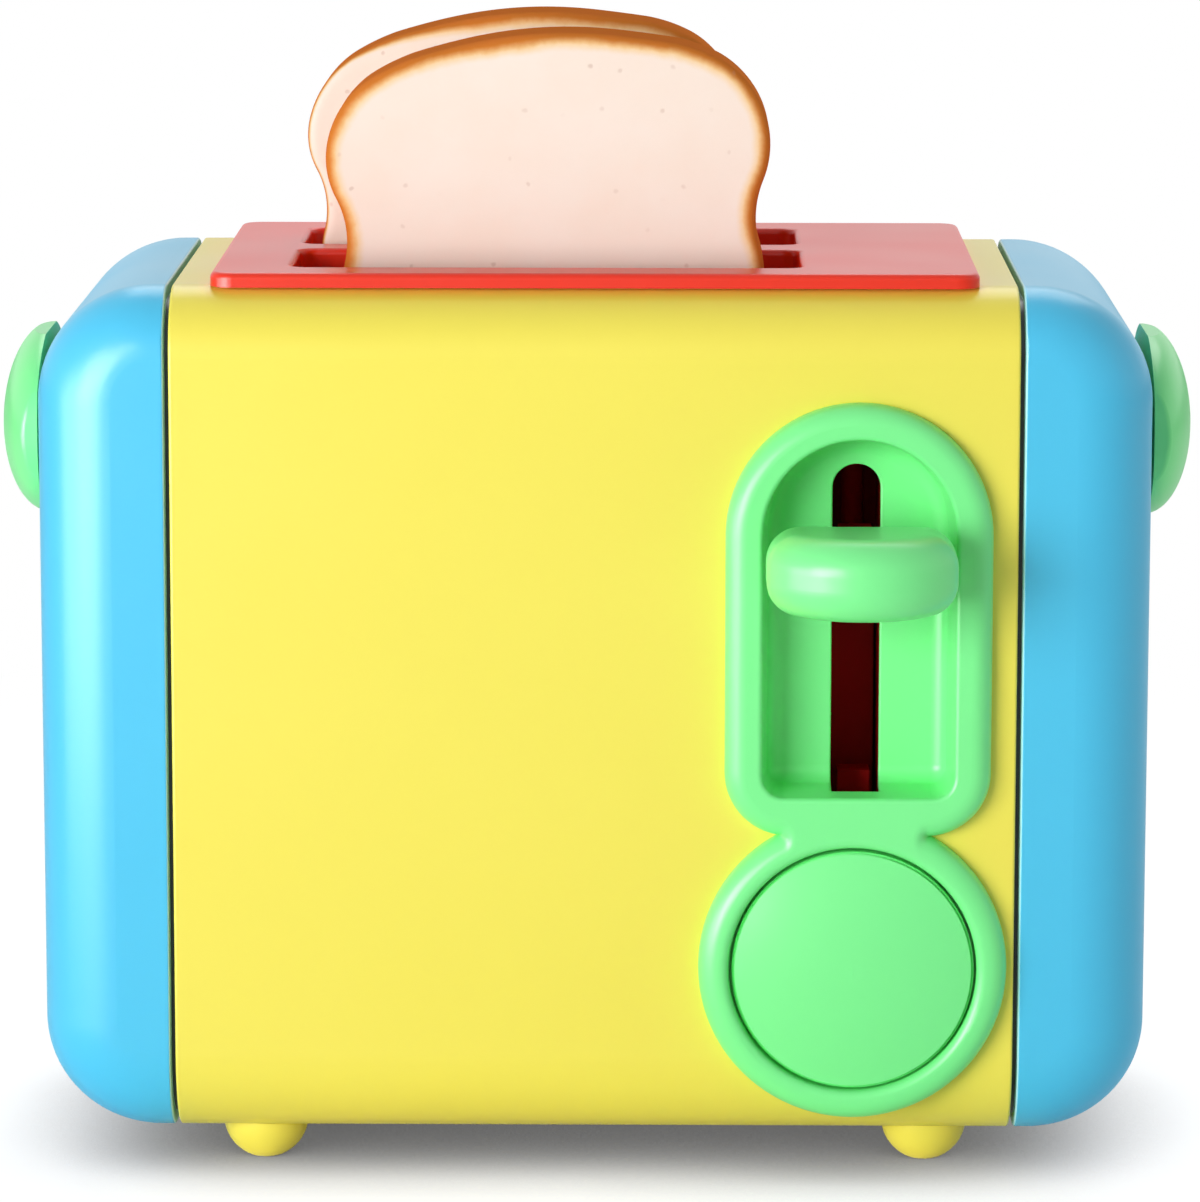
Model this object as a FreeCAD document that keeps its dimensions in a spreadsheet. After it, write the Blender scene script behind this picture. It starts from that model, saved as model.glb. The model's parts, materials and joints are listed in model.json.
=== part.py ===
import FreeCAD, Part
import Sketcher
import math
import os

"""A toy pop-up toaster with two toy bread slices, as a parametric FreeCAD document.

Everything is drawn in the case's own frame (X to the right, Y to the back, Z up, the middle of the
case at X = Y = 0, the floor at Z = 0). Each sub-part is then placed by the same small step along +Y,
so that the row's origin lies on the floor under the middle of the whole toaster, lever knob included.
"""

# name, millimetres (degrees for a draft), what it is
SIZES = [
    ("case_half_length", 76.0, "middle to the seam between shells and end caps"),
    ("case_half_depth", 50.0, "middle to the front face"),
    ("case_bottom", 7.0, "underside above the floor"),
    ("case_top", 162.0, "top of the shells above the floor"),
    ("case_wall", 2.4, "wall of both shells"),
    ("top_edge_radius", 12.0, "long upper edges, front and back"),
    ("bottom_edge_radius", 16.0, "long lower edges, front and back"),
    ("seam_gap", 0.9, "shadow gap between shells and end caps"),
    ("seam_edge_radius", 0.5, "soft edges on both sides of that gap"),
    ("case_centre_y", 15.5, "step from the case's frame to the row's frame"),
    ("cap_half_length", 100.0, "middle to the outer face of an end cap"),
    ("cap_corner_radius", 21.0, "corners of an end cap in the front view"),
    ("cap_upright_radius", 14.0, "upright outer edges of an end cap"),
    ("cap_wall", 2.6, "wall of an end cap"),
    ("lip_reach", 5.4, "how far a cap's lip reaches past the seam"),
    ("lip_root", 3.0, "thick rim behind that lip"),
    ("lip_wall", 1.8, "wall of that lip"),
    ("lip_gap", 0.1, "play between lip and shell"),
    ("fit_gap", 0.05, "running play around a pin or a screw"),
    ("plate_half_length", 68.6, "top plate, middle to end"),
    ("plate_half_depth", 44.0, "top plate, middle to front edge"),
    ("plate_thickness", 2.6, "top plate above the shells"),
    ("plate_corner_radius", 4.0, "top plate corners"),
    ("plate_edge_radius", 1.1, "top plate upper edge"),
    ("slot_left", -54.5, "left end of both bread slots"),
    ("slot_right", 37.0, "right end of both bread slots"),
    ("slot_corner_radius", 3.0, "corners of a bread slot"),
    ("front_slot_near", -33.5, "front bread slot, near edge"),
    ("front_slot_far", -4.0, "front bread slot, far edge"),
    ("back_slot_near", 5.0, "back bread slot, near edge"),
    ("back_slot_far", 33.0, "back bread slot, far edge"),
    ("well_wall", 2.2, "walls of the bread well"),
    ("well_floor", 84.0, "upper face of the bread well's floor"),
    ("well_gap", 0.5, "play between well and shell opening"),
    ("ear_thickness", 3.2, "screw ears of the bread well"),
    ("ear_left", -61.5, "screw line of the left ears"),
    ("ear_right", 45.0, "screw line of the right ears"),
    ("ear_front", -26.0, "screw line of the front ears"),
    ("ear_back", 28.0, "screw line of the back ears"),
    ("panel_x", 47.2, "middle of the lever panel"),
    ("panel_half_width", 23.8, "lever panel, outer arch radius too"),
    ("panel_arch", 118.7, "height of the outer arch's centre"),
    ("panel_foot", 64.4, "lower edge of the lever block"),
    ("panel_corner_radius", 11.5, "lower corners of the lever block"),
    ("panel_raise", 4.6, "panel face in front of the case"),
    ("panel_edge_radius", 3.6, "rounded outer edge of the panel"),
    ("ring_x", 46.5, "middle of the button ring"),
    ("ring_z", 40.3, "height of the button's centre"),
    ("ring_radius", 27.7, "outer radius of the button ring"),
    ("recess_half_width", 17.2, "recess at its rim, arch radius too"),
    ("recess_arch", 119.1, "height of the recess arch's centre"),
    ("recess_foot", 71.7, "lower edge of the recess at its rim"),
    ("recess_corner_radius", 4.0, "lower corners of the recess"),
    ("recess_depth", 12.0, "rim to recess floor"),
    ("recess_draft", 6.0, "draft of the recess walls, degrees"),
    ("panel_wall", 1.6, "wall of the recess cup"),
    ("lever_slot_left", 42.6, "lever slot, left edge"),
    ("lever_slot_right", 51.2, "lever slot, right edge"),
    ("lever_slot_foot", 70.0, "lever slot, lower end"),
    ("lever_slot_step", 7.3, "the slot runs this far forward in the recess's lower wall"),
    ("lever_slot_top", 130.4, "lever slot, upper end"),
    ("opening_gap", 0.3, "play between panel and the hole in the front shell"),
    ("button_radius", 21.7, "release button"),
    ("button_gap", 0.5, "dark ring around the button"),
    ("button_crown", 2.4, "dome of the button"),
    ("button_front", 1.8, "top of that dome in front of the panel"),
    ("button_edge_radius", 0.5, "rounded rim of the button"),
    ("hole_edge_radius", 1.6, "rounded rim of the hole around it"),
    ("button_travel", 4.0, "how far the button goes in"),
    ("knob_half_width", 16.8, "lever knob, middle to side"),
    ("knob_low", 107.3, "underside of the lever knob at rest"),
    ("knob_high", 121.9, "top of the lever knob at rest"),
    ("knob_front", -81.0, "most forward point of the lever knob"),
    ("knob_nose_radius", 18.2, "curve of the knob's front, seen from above"),
    ("knob_back", -55.4, "back face of the lever knob"),
    ("knob_edge_radius", 6.2, "rounded edges of the lever knob"),
    ("lever_travel", 32.0, "downward travel of lever and bread"),
    ("arm_half_width", 3.0, "lever arm, half its width"),
    ("arm_low", 110.0, "underside of the lever arm at rest"),
    ("arm_high", 117.4, "top of the lever arm at rest"),
    ("rack_top", 121.0, "face that carries the bread, at rest"),
    ("rack_height", 4.0, "height of the rack bars"),
    ("rack_half_width", 2.0, "half the width of a rack bar"),
    ("rod_x", 47.0, "guide rod"),
    ("rod_y", -15.0, "guide rod"),
    ("rod_radius", 2.0, "guide rod"),
    ("frame_wall", 2.0, "walls of the carriage frame"),
    ("frame_right", 51.5, "inner face of the frame's right wall"),
    ("frame_back", -9.5, "inner face of the frame's back wall"),
    ("frame_front", -33.5, "front of the frame's floor and roof"),
    ("frame_head", 150.0, "underside of the frame's roof"),
    ("pivot_y", -28.65, "latch pivot"),
    ("pivot_z", 56.0, "latch pivot"),
    ("pivot_radius", 1.5, "latch pin"),
    ("latch_half_thickness", 1.35, "half the thickness of the latch bar"),
    ("tooth_low", 70.0, "underside of the latch tooth"),
    ("tooth_height", 2.2, "height of the latch tooth"),
    ("tooth_tip", -24.6, "tip of the latch tooth"),
    ("hook_gap", 0.3, "play between tooth and hook when latched"),
    ("foot_x", 60.5, "feet, middle of the case to their centres"),
    ("foot_y", 30.0, "feet, middle of the case to their centres"),
    ("foot_radius", 7.8, "widest part of a foot"),
    ("foot_tip_radius", 3.0, "flat tip that stands on the floor"),
    ("handle_z", 133.0, "height of the middle of a side handle"),
    ("handle_half_height", 16.4, "side handle"),
    ("handle_half_width", 28.0, "side handle, middle to front"),
    ("handle_inner", 101.2, "inner face of a side handle"),
    ("handle_edge", 104.0, "outer face at the handle's rim"),
    ("handle_crown", 109.7, "outermost point of a side handle"),
    ("slice_x", -8.7, "middle of the front bread slice"),
    ("slice_shift", -5.2, "the back slice stands this much further left"),
    ("slice_front_y", -15.0, "middle plane of the front slice"),
    ("slice_back_y", 20.0, "middle plane of the back slice"),
    ("slice_thickness", 18.0, "bread slice"),
    ("slice_waist", 37.05, "half the width at the waist"),
    ("slice_waist_z", 170.1, "height of the waist, popped up"),
    ("slice_waist_radius", 17.3, "hollow curve of the waist"),
    ("slice_ear_x", 23.9, "centre of the shoulder curve"),
    ("slice_ear_z", 184.3, "centre of the shoulder curve"),
    ("slice_ear_radius", 16.3, "shoulder curve"),
    ("slice_top", 206.3, "top of an upright slice, popped up"),
    ("slice_corner_radius", 5.0, "lower corners of a slice"),
    ("slice_pivot", 185.0, "height about which a slice leans"),
    ("front_lean", 2.4, "lean of the front slice, right side up, degrees"),
    ("back_lean", 1.2, "lean of the back slice, right side up, degrees"),
    ("back_lift", 1.2, "the back slice stands this much higher"),
    ("slice_edge_radius", 1.6, "soft edges of a slice"),
]

doc = FreeCAD.newDocument("toy_toaster")
sheet = doc.addObject("Spreadsheet::Sheet", "sizes")
sub_parts = []


class Size:
    """A length that carries both its value and the sheet formula that gives it."""

    def __init__(self, value, text=None):
        self.value = float(value)
        self.text = text or f"({float(value)!r})"

    def _join(self, other, sign, value):
        return Size(value, f"({self.text} {sign} {as_size(other).text})")

    def __add__(self, other):
        return self._join(other, "+", self.value + as_size(other).value)

    def __sub__(self, other):
        return self._join(other, "-", self.value - as_size(other).value)

    def __mul__(self, other):
        return self._join(other, "*", self.value * as_size(other).value)

    def __truediv__(self, other):
        return self._join(other, "/", self.value / as_size(other).value)

    def __neg__(self):
        return Size(-self.value, f"(-1 * {self.text})")

    def __radd__(self, other):
        return as_size(other) + self

    def __rsub__(self, other):
        return as_size(other) - self


def as_size(number):
    return number if isinstance(number, Size) else Size(number)


def root(size):
    return Size(math.sqrt(size.value), f"sqrt({size.text})")


class Names:
    """The sheet's sizes as attributes: d.case_top and so on."""


d = Names()
for line, (alias, millimetres, note) in enumerate(SIZES, start=1):
    sheet.set(f"A{line}", alias)
    sheet.set(f"B{line}", str(millimetres))
    sheet.setAlias(f"B{line}", alias)
    sheet.set(f"C{line}", note)
    setattr(d, alias, Size(millimetres, f"sizes.{alias}"))
doc.recompute()


# ---------------------------------------------------------------- helpers: Part primitives


def bind(thing, **formulas):
    """Bind properties to formulas of the sheet."""
    for name, size in formulas.items():
        thing.setExpression(name, as_size(size).text)


def set_base(thing, x, y, z):
    """Bind the position of an object, leaving its turn as it is."""
    turn = thing.Placement.Rotation
    point = [as_size(c) for c in (x, y, z)]
    thing.Placement = FreeCAD.Placement(FreeCAD.Vector(*(c.value for c in point)), turn)
    for axis, size in zip("xyz", point):
        thing.setExpression(f"Placement.Base.{axis}", size.text)


def block(name, x, y, z):
    """A box between two bounds on each axis."""
    box = doc.addObject("Part::Box", name)
    bind(box, Length=x[1] - x[0], Width=y[1] - y[0], Height=z[1] - z[0])
    set_base(box, x[0], y[0], z[0])
    return box


TURNS = {
    "X": FreeCAD.Rotation(FreeCAD.Vector(0, 1, 0), 90),
    "Y": FreeCAD.Rotation(FreeCAD.Vector(1, 0, 0), -90),
    "Z": FreeCAD.Rotation(),
}


def along(axis, low, across):
    """The point at `low` along an axis, at the two other coordinates, in X, Y, Z order."""
    point = list(across)
    point.insert("XYZ".index(axis), low)
    return point


def rod(name, axis, low, high, across, radius):
    """A cylinder along an axis between two bounds, centred on the two other coordinates."""
    cylinder = doc.addObject("Part::Cylinder", name)
    bind(cylinder, Radius=radius, Height=as_size(high) - low)
    cylinder.Placement = FreeCAD.Placement(FreeCAD.Vector(), TURNS[axis])
    set_base(cylinder, *along(axis, low, across))
    return cylinder


def fused(name, *things):
    union = doc.addObject("Part::MultiFuse", name)
    union.Shapes = list(things)
    return union


def common(name, *things):
    overlap = doc.addObject("Part::MultiCommon", name)
    overlap.Shapes = list(things)
    return overlap


def cut(name, base, *tools):
    result = doc.addObject("Part::Cut", name)
    result.Base = base
    result.Tool = tools[0] if len(tools) == 1 else fused(name + "_tools", *tools)
    return result


def rounded(name, base, pick_radius):
    """Fillet the edges of base for which pick_radius(middle, direction) gives a radius."""
    doc.recompute()
    fillet = doc.addObject("Part::Fillet", name)
    fillet.Base = base
    picked = []
    for number, edge in enumerate(base.Shape.Edges, start=1):
        first, last = edge.firstVertex().Point, edge.lastVertex().Point
        direction = last - first
        if direction.Length > 0:
            direction.normalize()
        radius = pick_radius((first + last) * 0.5, direction)
        if radius:
            picked.append((number, radius, radius))
    fillet.Edges = picked
    return fillet


def finish(thing, label, x=0, z=0):
    """Name a finished sub-part and place it in the row's frame."""
    thing.Label = label
    set_step(thing, x, z)
    sub_parts.append(thing)


def set_step(thing, x, z):
    """Bind the step to the row's frame, on top of where the piece already stands."""
    drawn_at = bound_base(thing)
    for axis, size in (("x", as_size(x)), ("y", d.case_centre_y), ("z", as_size(z))):
        if size.value == 0:
            continue
        text = size.text
        if axis in drawn_at:
            text = f"{drawn_at[axis]} + {text}"
        thing.setExpression(f"Placement.Base.{axis}", text)


def bound_base(thing):
    """The formulas that already hold an object's position, by axis."""
    found = {}
    for path, text in thing.ExpressionEngine:
        if "Placement.Base." in path:
            found[path[-1]] = text
    return found


# ---------------------------------------------------------------- helpers: sketches and bodies

PLANES = {"X": ("YZ_Plane", 1), "Y": ("XZ_Plane", -1), "Z": ("XY_Plane", 1)}


def new_body(name):
    return doc.addObject("PartDesign::Body", name + "_body")


def sketch_on(body, name, axis, at):
    """A sketch square to an axis, at a bound height along it."""
    role, facing = PLANES[axis]
    plane = next(o for o in body.Origin.OriginFeatures if o.Role == role)
    sketch = body.newObject("Sketcher::SketchObject", name)
    sketch.AttachmentSupport = [(plane, "")]
    sketch.MapMode = "FlatFace"
    height = as_size(at) * facing
    sketch.AttachmentOffset = FreeCAD.Placement(
        FreeCAD.Vector(0, 0, height.value), FreeCAD.Rotation()
    )
    sketch.setExpression("AttachmentOffset.Base.z", height.text)
    return sketch


def pin_point(sketch, element, end, u, v):
    """Hold one point of a sketch at bound coordinates."""
    for kind, axis_id, size in (("DistanceX", -2, u), ("DistanceY", -1, v)):
        if size.value == 0:
            sketch.addConstraint(Sketcher.Constraint("PointOnObject", element, end, axis_id))
            continue
        index = sketch.addConstraint(
            Sketcher.Constraint(kind, -1, 1, element, end, size.value)
        )
        sketch.setExpression(f"Constraints[{index}]", size.text)


def circle(sketch, u, v, radius):
    u, v, radius = as_size(u), as_size(v), as_size(radius)
    centre = FreeCAD.Vector(u.value, v.value, 0)
    element = sketch.addGeometry(
        Part.Circle(centre, FreeCAD.Vector(0, 0, 1), radius.value)
    )
    pin_point(sketch, element, 3, u, v)
    index = sketch.addConstraint(Sketcher.Constraint("Radius", element, radius.value))
    sketch.setExpression(f"Constraints[{index}]", radius.text)


def trace(sketch, start, *steps):
    """A closed outline. A step is (u, v) for a line, or (u, v, radius, centre, turn) for an arc,
    whose turn is +1 anticlockwise and -1 clockwise."""
    start = tuple(as_size(c) for c in start)
    here, elements = start, []
    for step in steps:
        there = (as_size(step[0]), as_size(step[1]))
        p = FreeCAD.Vector(here[0].value, here[1].value, 0)
        q = FreeCAD.Vector(there[0].value, there[1].value, 0)
        if p.distanceToPoint(q) < 1e-6:
            here = there
            continue
        if len(step) == 2:
            element = sketch.addGeometry(Part.LineSegment(p, q))
            elements.append((element, 1, 2, there))
        else:
            radius, centre, turn = as_size(step[2]), step[3], step[4]
            c = FreeCAD.Vector(as_size(centre[0]).value, as_size(centre[1]).value, 0)
            first, last = (p, q) if turn > 0 else (q, p)
            angles = [math.atan2(e.y - c.y, e.x - c.x) for e in (first, last)]
            whole = Part.Circle(c, FreeCAD.Vector(0, 0, 1), radius.value)
            element = sketch.addGeometry(Part.ArcOfCircle(whole, *angles))
            index = sketch.addConstraint(
                Sketcher.Constraint("Radius", element, radius.value)
            )
            sketch.setExpression(f"Constraints[{index}]", radius.text)
            ends = (1, 2) if turn > 0 else (2, 1)
            elements.append((element, *ends, there))
        here = there
    for number, (element, _, end, place) in enumerate(elements):
        following = elements[(number + 1) % len(elements)]
        sketch.addConstraint(
            Sketcher.Constraint("Coincident", element, end, following[0], following[1])
        )
        pin_point(sketch, element, end, *place)


def polygon(sketch, *corners):
    """A closed outline of level and upright sides. A corner is (u, v) or (u, v, radius)."""
    corners = [
        (as_size(c[0]), as_size(c[1]), as_size(c[2]) if len(c) > 2 else Size(0))
        for c in corners
    ]
    steps = []
    for number, (u, v, radius) in enumerate(corners):
        before, after = corners[number - 1], corners[(number + 1) % len(corners)]
        come = heading(before, (u, v))
        leave = heading((u, v), after)
        if radius.value == 0:
            steps.append((u, v))
            continue
        enter = (u - radius * come[0], v - radius * come[1])
        exit_at = (u + radius * leave[0], v + radius * leave[1])
        centre = (enter[0] + radius * leave[0], enter[1] + radius * leave[1])
        turn = 1 if come[0] * leave[1] - come[1] * leave[0] > 0 else -1
        steps.append(enter)
        steps.append((*exit_at, radius, centre, turn))
    trace(sketch, steps[-1][:2], *steps)


def heading(a, b):
    """The unit step, along u or along v, from one corner to the next."""
    du, dv = b[0].value - a[0].value, b[1].value - a[1].value
    return (0, 1 if dv > 0 else -1) if abs(dv) > abs(du) else (1 if du > 0 else -1, 0)


def rectangle(sketch, u, v, radius=0):
    polygon(
        sketch,
        (u[0], v[0], radius),
        (u[1], v[0], radius),
        (u[1], v[1], radius),
        (u[0], v[1], radius),
    )


def extrude(body, kind, name, axis, low, high, draw, from_high=False, draft=None):
    """A Pad or Pocket between two bounds along an axis, drawn at the lower (or upper) one."""
    low, high = as_size(low), as_size(high)
    sketch = sketch_on(body, name + "_sketch", axis, high if from_high else low)
    draw(sketch)
    feature = body.newObject("PartDesign::" + kind, name)
    feature.Profile = sketch
    feature.setExpression("Length", (high - low).text)
    along_normal = (PLANES[axis][1] > 0) != from_high
    feature.Reversed = (not along_normal) if kind == "Pad" else along_normal
    if draft is not None:
        feature.setExpression("TaperAngle", draft.text)
    return feature


def pad(body, name, axis, low, high, draw, **more):
    return extrude(body, "Pad", name, axis, low, high, draw, **more)


def pocket(body, name, axis, low, high, draw, **more):
    return extrude(body, "Pocket", name, axis, low, high, draw, **more)


def round_edges(body, name, radius, wanted):
    """A PartDesign fillet on the edges of the body's tip for which wanted(edge) is true."""
    doc.recompute()
    tip = body.Tip
    edges = [f"Edge{n}" for n, e in enumerate(tip.Shape.Edges, start=1) if wanted(e)]
    fillet = body.newObject("PartDesign::Fillet", name)
    fillet.Base = (tip, edges)
    fillet.setExpression("Radius", radius.text)
    return fillet


def lies_at(edge, axis, place):
    """True when the whole edge lies in the plane across an axis at that place."""
    box = edge.BoundBox
    low, high = (getattr(box, axis + "Min"), getattr(box, axis + "Max"))
    return abs(low - place.value) < 1e-4 and abs(high - place.value) < 1e-4


# ---------------------------------------------------------------- places that several pieces share

shell_end = d.case_half_length - d.seam_gap / 2
cap_start = d.case_half_length + d.seam_gap / 2
inner_bottom = d.case_bottom + d.case_wall
inner_top = d.case_top - d.case_wall
inner_depth = d.case_half_depth - d.case_wall
plate_top = d.case_top + d.plate_thickness
panel_face = -(d.case_half_depth + d.panel_raise)
recess_floor = panel_face + d.recess_depth
cup_back = recess_floor + d.panel_wall
button_hole = d.button_radius + d.button_gap
flange_radius = button_hole + 1.2
slots = [
    ("front", (d.front_slot_near, d.front_slot_far)),
    ("back", (d.back_slot_near, d.back_slot_far)),
]
slot_span = (d.slot_left, d.slot_right)
ears = [(x, y) for x in (d.ear_left, d.ear_right) for y in (d.ear_front, d.ear_back)]
PAST = Size(1)  # how far a cutting tool runs past the face that it opens

SCREW_RADIUS = Size(1.45)
SCREW_HOLE = SCREW_RADIUS + d.fit_gap
HEAD_RADIUS = Size(2.9)
HEAD_HEIGHT = Size(2)
POST_RADIUS = Size(3.6)
BOSS_RADIUS = Size(2.6)
BOSS_HOLE = BOSS_RADIUS + d.fit_gap
FOOT_STEM = Size(2.4)

shell_screws_at = [
    (Size(-66), Size(19.5)),
    (Size(66), Size(19.5)),
    (Size(-64.5), Size(146)),
    (Size(64.5), Size(146)),
    (Size(-64.5), Size(84)),
    (Size(-6), Size(40)),
]
SCREW_SEAT = Size(6)
cap_screw_x = Size(66)
cap_screw_y = Size(10)
handle_screw_y = Size(13)
handle_screw_z = Size(129)
frame_screws_at = [(Size(47), Size(-24.5)), (Size(33), Size(-14))]
diagonal = Size(14.85)
low_boss_x = Size(15.2)
low_boss_z = Size(67.6)
panel_screws_at = [
    (d.panel_x - low_boss_x, low_boss_z),
    (d.panel_x + low_boss_x, low_boss_z),
    (d.panel_x - diagonal, d.recess_arch + diagonal),
    (d.panel_x + diagonal, d.recess_arch + diagonal),
]
PANEL_BOSS = Size(1.5)
PANEL_SCREW = Size(0.8)
arm_span = (d.rod_x - d.arm_half_width, d.rod_x + d.arm_half_width)
rack_rows = [d.slice_front_y, d.slice_back_y]


def circles(places, radius):
    """A drawing of equal circles, for a pad or a pocket."""

    def draw(sketch):
        for u, v in places:
            circle(sketch, u, v, radius)

    return draw


def sided(side, low, high):
    """Two bounds on the right-hand side, mirrored for the left-hand side."""
    return (low, high) if side > 0 else (-as_size(high), -as_size(low))


def side_name(side):
    return "right" if side > 0 else "left"


def case_radii(direction, middle):
    """Radius of a long edge of the case, or None for an edge that runs another way."""
    if abs(direction.x) < 0.9:
        return None
    upper = middle.z > (d.case_bottom.value + d.case_top.value) / 2
    return (d.top_edge_radius if upper else d.bottom_edge_radius).value


def case_bar(name, x, inset):
    """A length of the case's section as a solid bar, shrunk by an inset."""
    depth = d.case_half_depth - inset
    height = (d.case_bottom + inset, d.case_top - inset)
    core = block(name + "_box", x, (-depth, depth), height)

    def radius(middle, direction):
        edge = case_radii(direction, middle)
        return edge and edge - inset.value

    return rounded(name, core, radius)


# ---------------------------------------------------------------- case


def shell_half(name, side):
    """Half of the case: a bent sheet, open at its ends and over the bread well."""
    body = new_body(name)

    def outline(inset):
        depth = (d.case_half_depth - inset) * side
        low, high = d.case_bottom + inset, d.case_top - inset
        return lambda sketch: polygon(
            sketch,
            (0, high),
            (depth, high, d.top_edge_radius - inset),
            (depth, low, d.bottom_edge_radius - inset),
            (0, low),
        )

    pad(body, name + "_skin", "X", -shell_end, shell_end, outline(Size(0)))

    def at_an_end(edge):
        here = any(lies_at(edge, "X", end) for end in (shell_end, -shell_end))
        return here and not lies_at(edge, "Y", Size(0))

    round_edges(body, name + "_end_edges", d.seam_edge_radius, at_an_end)
    inside = (-shell_end - PAST, shell_end + PAST)
    pocket(body, name + "_hollow", "X", *inside, outline(d.case_wall))
    rim = d.well_wall + d.well_gap
    across = (d.slot_left - rim, d.slot_right + rim)
    rows = (d.front_slot_near - rim, Size(0)) if side < 0 else (Size(0), d.back_slot_far + rim)
    roof = (inner_top - PAST, d.case_top + PAST)
    pocket(body, name + "_well_opening", "Z", *roof, lambda s: rectangle(s, across, rows))
    plate_bosses = [place for place in ears if place[1].value * side > 0]
    pocket(body, name + "_plate_holes", "Z", *roof, circles(plate_bosses, BOSS_HOLE))
    floor = (d.case_bottom - PAST, inner_bottom + PAST)
    stems = [(-d.foot_x, d.foot_y * side), (d.foot_x, d.foot_y * side)]
    pocket(body, name + "_foot_holes", "Z", *floor, circles(stems, FOOT_STEM + d.fit_gap))
    screws = [(-cap_screw_x, cap_screw_y * side), (cap_screw_x, cap_screw_y * side)]
    pocket(body, name + "_cap_holes", "Z", *floor, circles(screws, SCREW_HOLE))
    return body


def front_shell():
    body = shell_half("front_shell", -1)
    root_of_posts = -inner_depth - 0.5
    pad(
        body,
        "front_posts",
        "Y",
        root_of_posts,
        -d.fit_gap,
        circles(shell_screws_at, POST_RADIUS),
    )
    pocket(
        body, "front_post_bores", "Y", Size(-14), PAST, circles(shell_screws_at, SCREW_HOLE)
    )
    wall = (-d.case_half_depth - PAST, -inner_depth + 0.3)
    half = d.recess_half_width + d.panel_wall - 0.2
    foot = d.recess_foot - d.panel_wall + 0.2
    pocket(
        body,
        "recess_opening",
        "Y",
        *wall,
        lambda s: polygon(
            s,
            (d.panel_x - half, foot, d.recess_corner_radius),
            (d.panel_x + half, foot, d.recess_corner_radius),
            (d.panel_x + half, d.recess_arch + half, half),
            (d.panel_x - half, d.recess_arch + half, half),
        ),
    )
    ring = [(d.ring_x, d.ring_z)]
    opening = button_hole + d.panel_wall + d.opening_gap
    past_bend = wall[1] + d.button_travel
    pocket(body, "button_opening", "Y", wall[0], past_bend, circles(ring, opening))
    pocket(
        body,
        "panel_boss_holes",
        "Y",
        *wall,
        circles(panel_screws_at, PANEL_BOSS + d.fit_gap),
    )
    floor = (d.case_bottom - PAST, inner_bottom + PAST)
    pocket(body, "frame_screw_holes", "Z", *floor, circles(frame_screws_at, SCREW_HOLE))
    finish(body, "front_shell")


def back_shell():
    body = shell_half("back_shell", 1)
    pad(
        body,
        "back_sleeves",
        "Y",
        d.fit_gap,
        inner_depth + 0.5,
        circles(shell_screws_at, POST_RADIUS + 1),
    )
    outside = d.case_half_depth + PAST
    wells = circles(shell_screws_at, HEAD_RADIUS + 0.3)
    pocket(body, "back_head_wells", "Y", SCREW_SEAT, outside, wells)
    bores = circles(shell_screws_at, SCREW_HOLE)
    pocket(body, "back_screw_bores", "Y", -PAST, SCREW_SEAT + PAST, bores)
    finish(body, "back_shell")


def end_cap(side):
    """A hollow soft-cornered end, with a lip that enters the shells and a screw tab."""
    label = side_name(side) + "_end_cap"

    def shape(name, inset, start):
        outer = d.cap_half_length - inset
        depth = d.case_half_depth - inset
        height = (d.case_bottom + inset, d.case_top - inset)
        core = block(name + "_box", sided(side, start, outer), (-depth, depth), height)

        def radius(middle, direction):
            edge = case_radii(direction, middle)
            if edge is None and abs(middle.x) > outer.value - 0.1:
                lying = abs(direction.y) > 0.9
                edge = (d.cap_corner_radius if lying else d.cap_upright_radius).value
            return edge and edge - inset.value

        return rounded(name, core, radius)

    lip_inset = d.case_wall + d.lip_gap
    lip_start = cap_start - d.lip_reach
    rim_end = cap_start + d.lip_root
    full = shape(label + "_full", Size(0), cap_start)

    def seam_radius(middle, direction):
        at_seam = abs(abs(middle.x) - cap_start.value) < 1e-3
        return d.seam_edge_radius.value if at_seam else None

    outer = rounded(label + "_outer", full, seam_radius)
    hollow = shape(label + "_hollow", d.cap_wall, cap_start - PAST)
    lip = case_bar(label + "_lip", sided(side, lip_start, rim_end), lip_inset)
    rim = case_bar(label + "_rim", sided(side, cap_start, rim_end), d.cap_wall / 2)
    mouth_span = sided(side, lip_start - PAST, rim_end + PAST)
    mouth = case_bar(label + "_mouth", mouth_span, lip_inset + d.lip_wall)
    tab_low = inner_bottom + d.lip_gap
    tab_high = tab_low + 5
    tab = block(
        label + "_tab",
        sided(side, cap_screw_x - 5, lip_start + 1.5),
        (-cap_screw_y - 5, cap_screw_y + 5),
        (tab_low, tab_high),
    )
    bores = []
    for way in (-1, 1):
        name = f"{label}_bore_{way + 1}"
        across = (cap_screw_x * side, cap_screw_y * way)
        bores.append(
            rod(name, "Z", tab_low - PAST, tab_high + PAST, across, SCREW_HOLE)
        )
        wall = sided(side, d.cap_half_length - d.cap_wall - PAST, d.cap_half_length + PAST)
        across = (handle_screw_y * way, handle_screw_z)
        bores.append(rod(name + "_handle", "X", *wall, across, BOSS_HOLE))
    skin = cut(label + "_skin", outer, hollow)
    ring = cut(label + "_ring", fused(label + "_lipped", skin, lip, rim), mouth)
    whole = fused(label + "_with_tab", ring, tab)
    finish(cut(label, whole, *bores), label)


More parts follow.
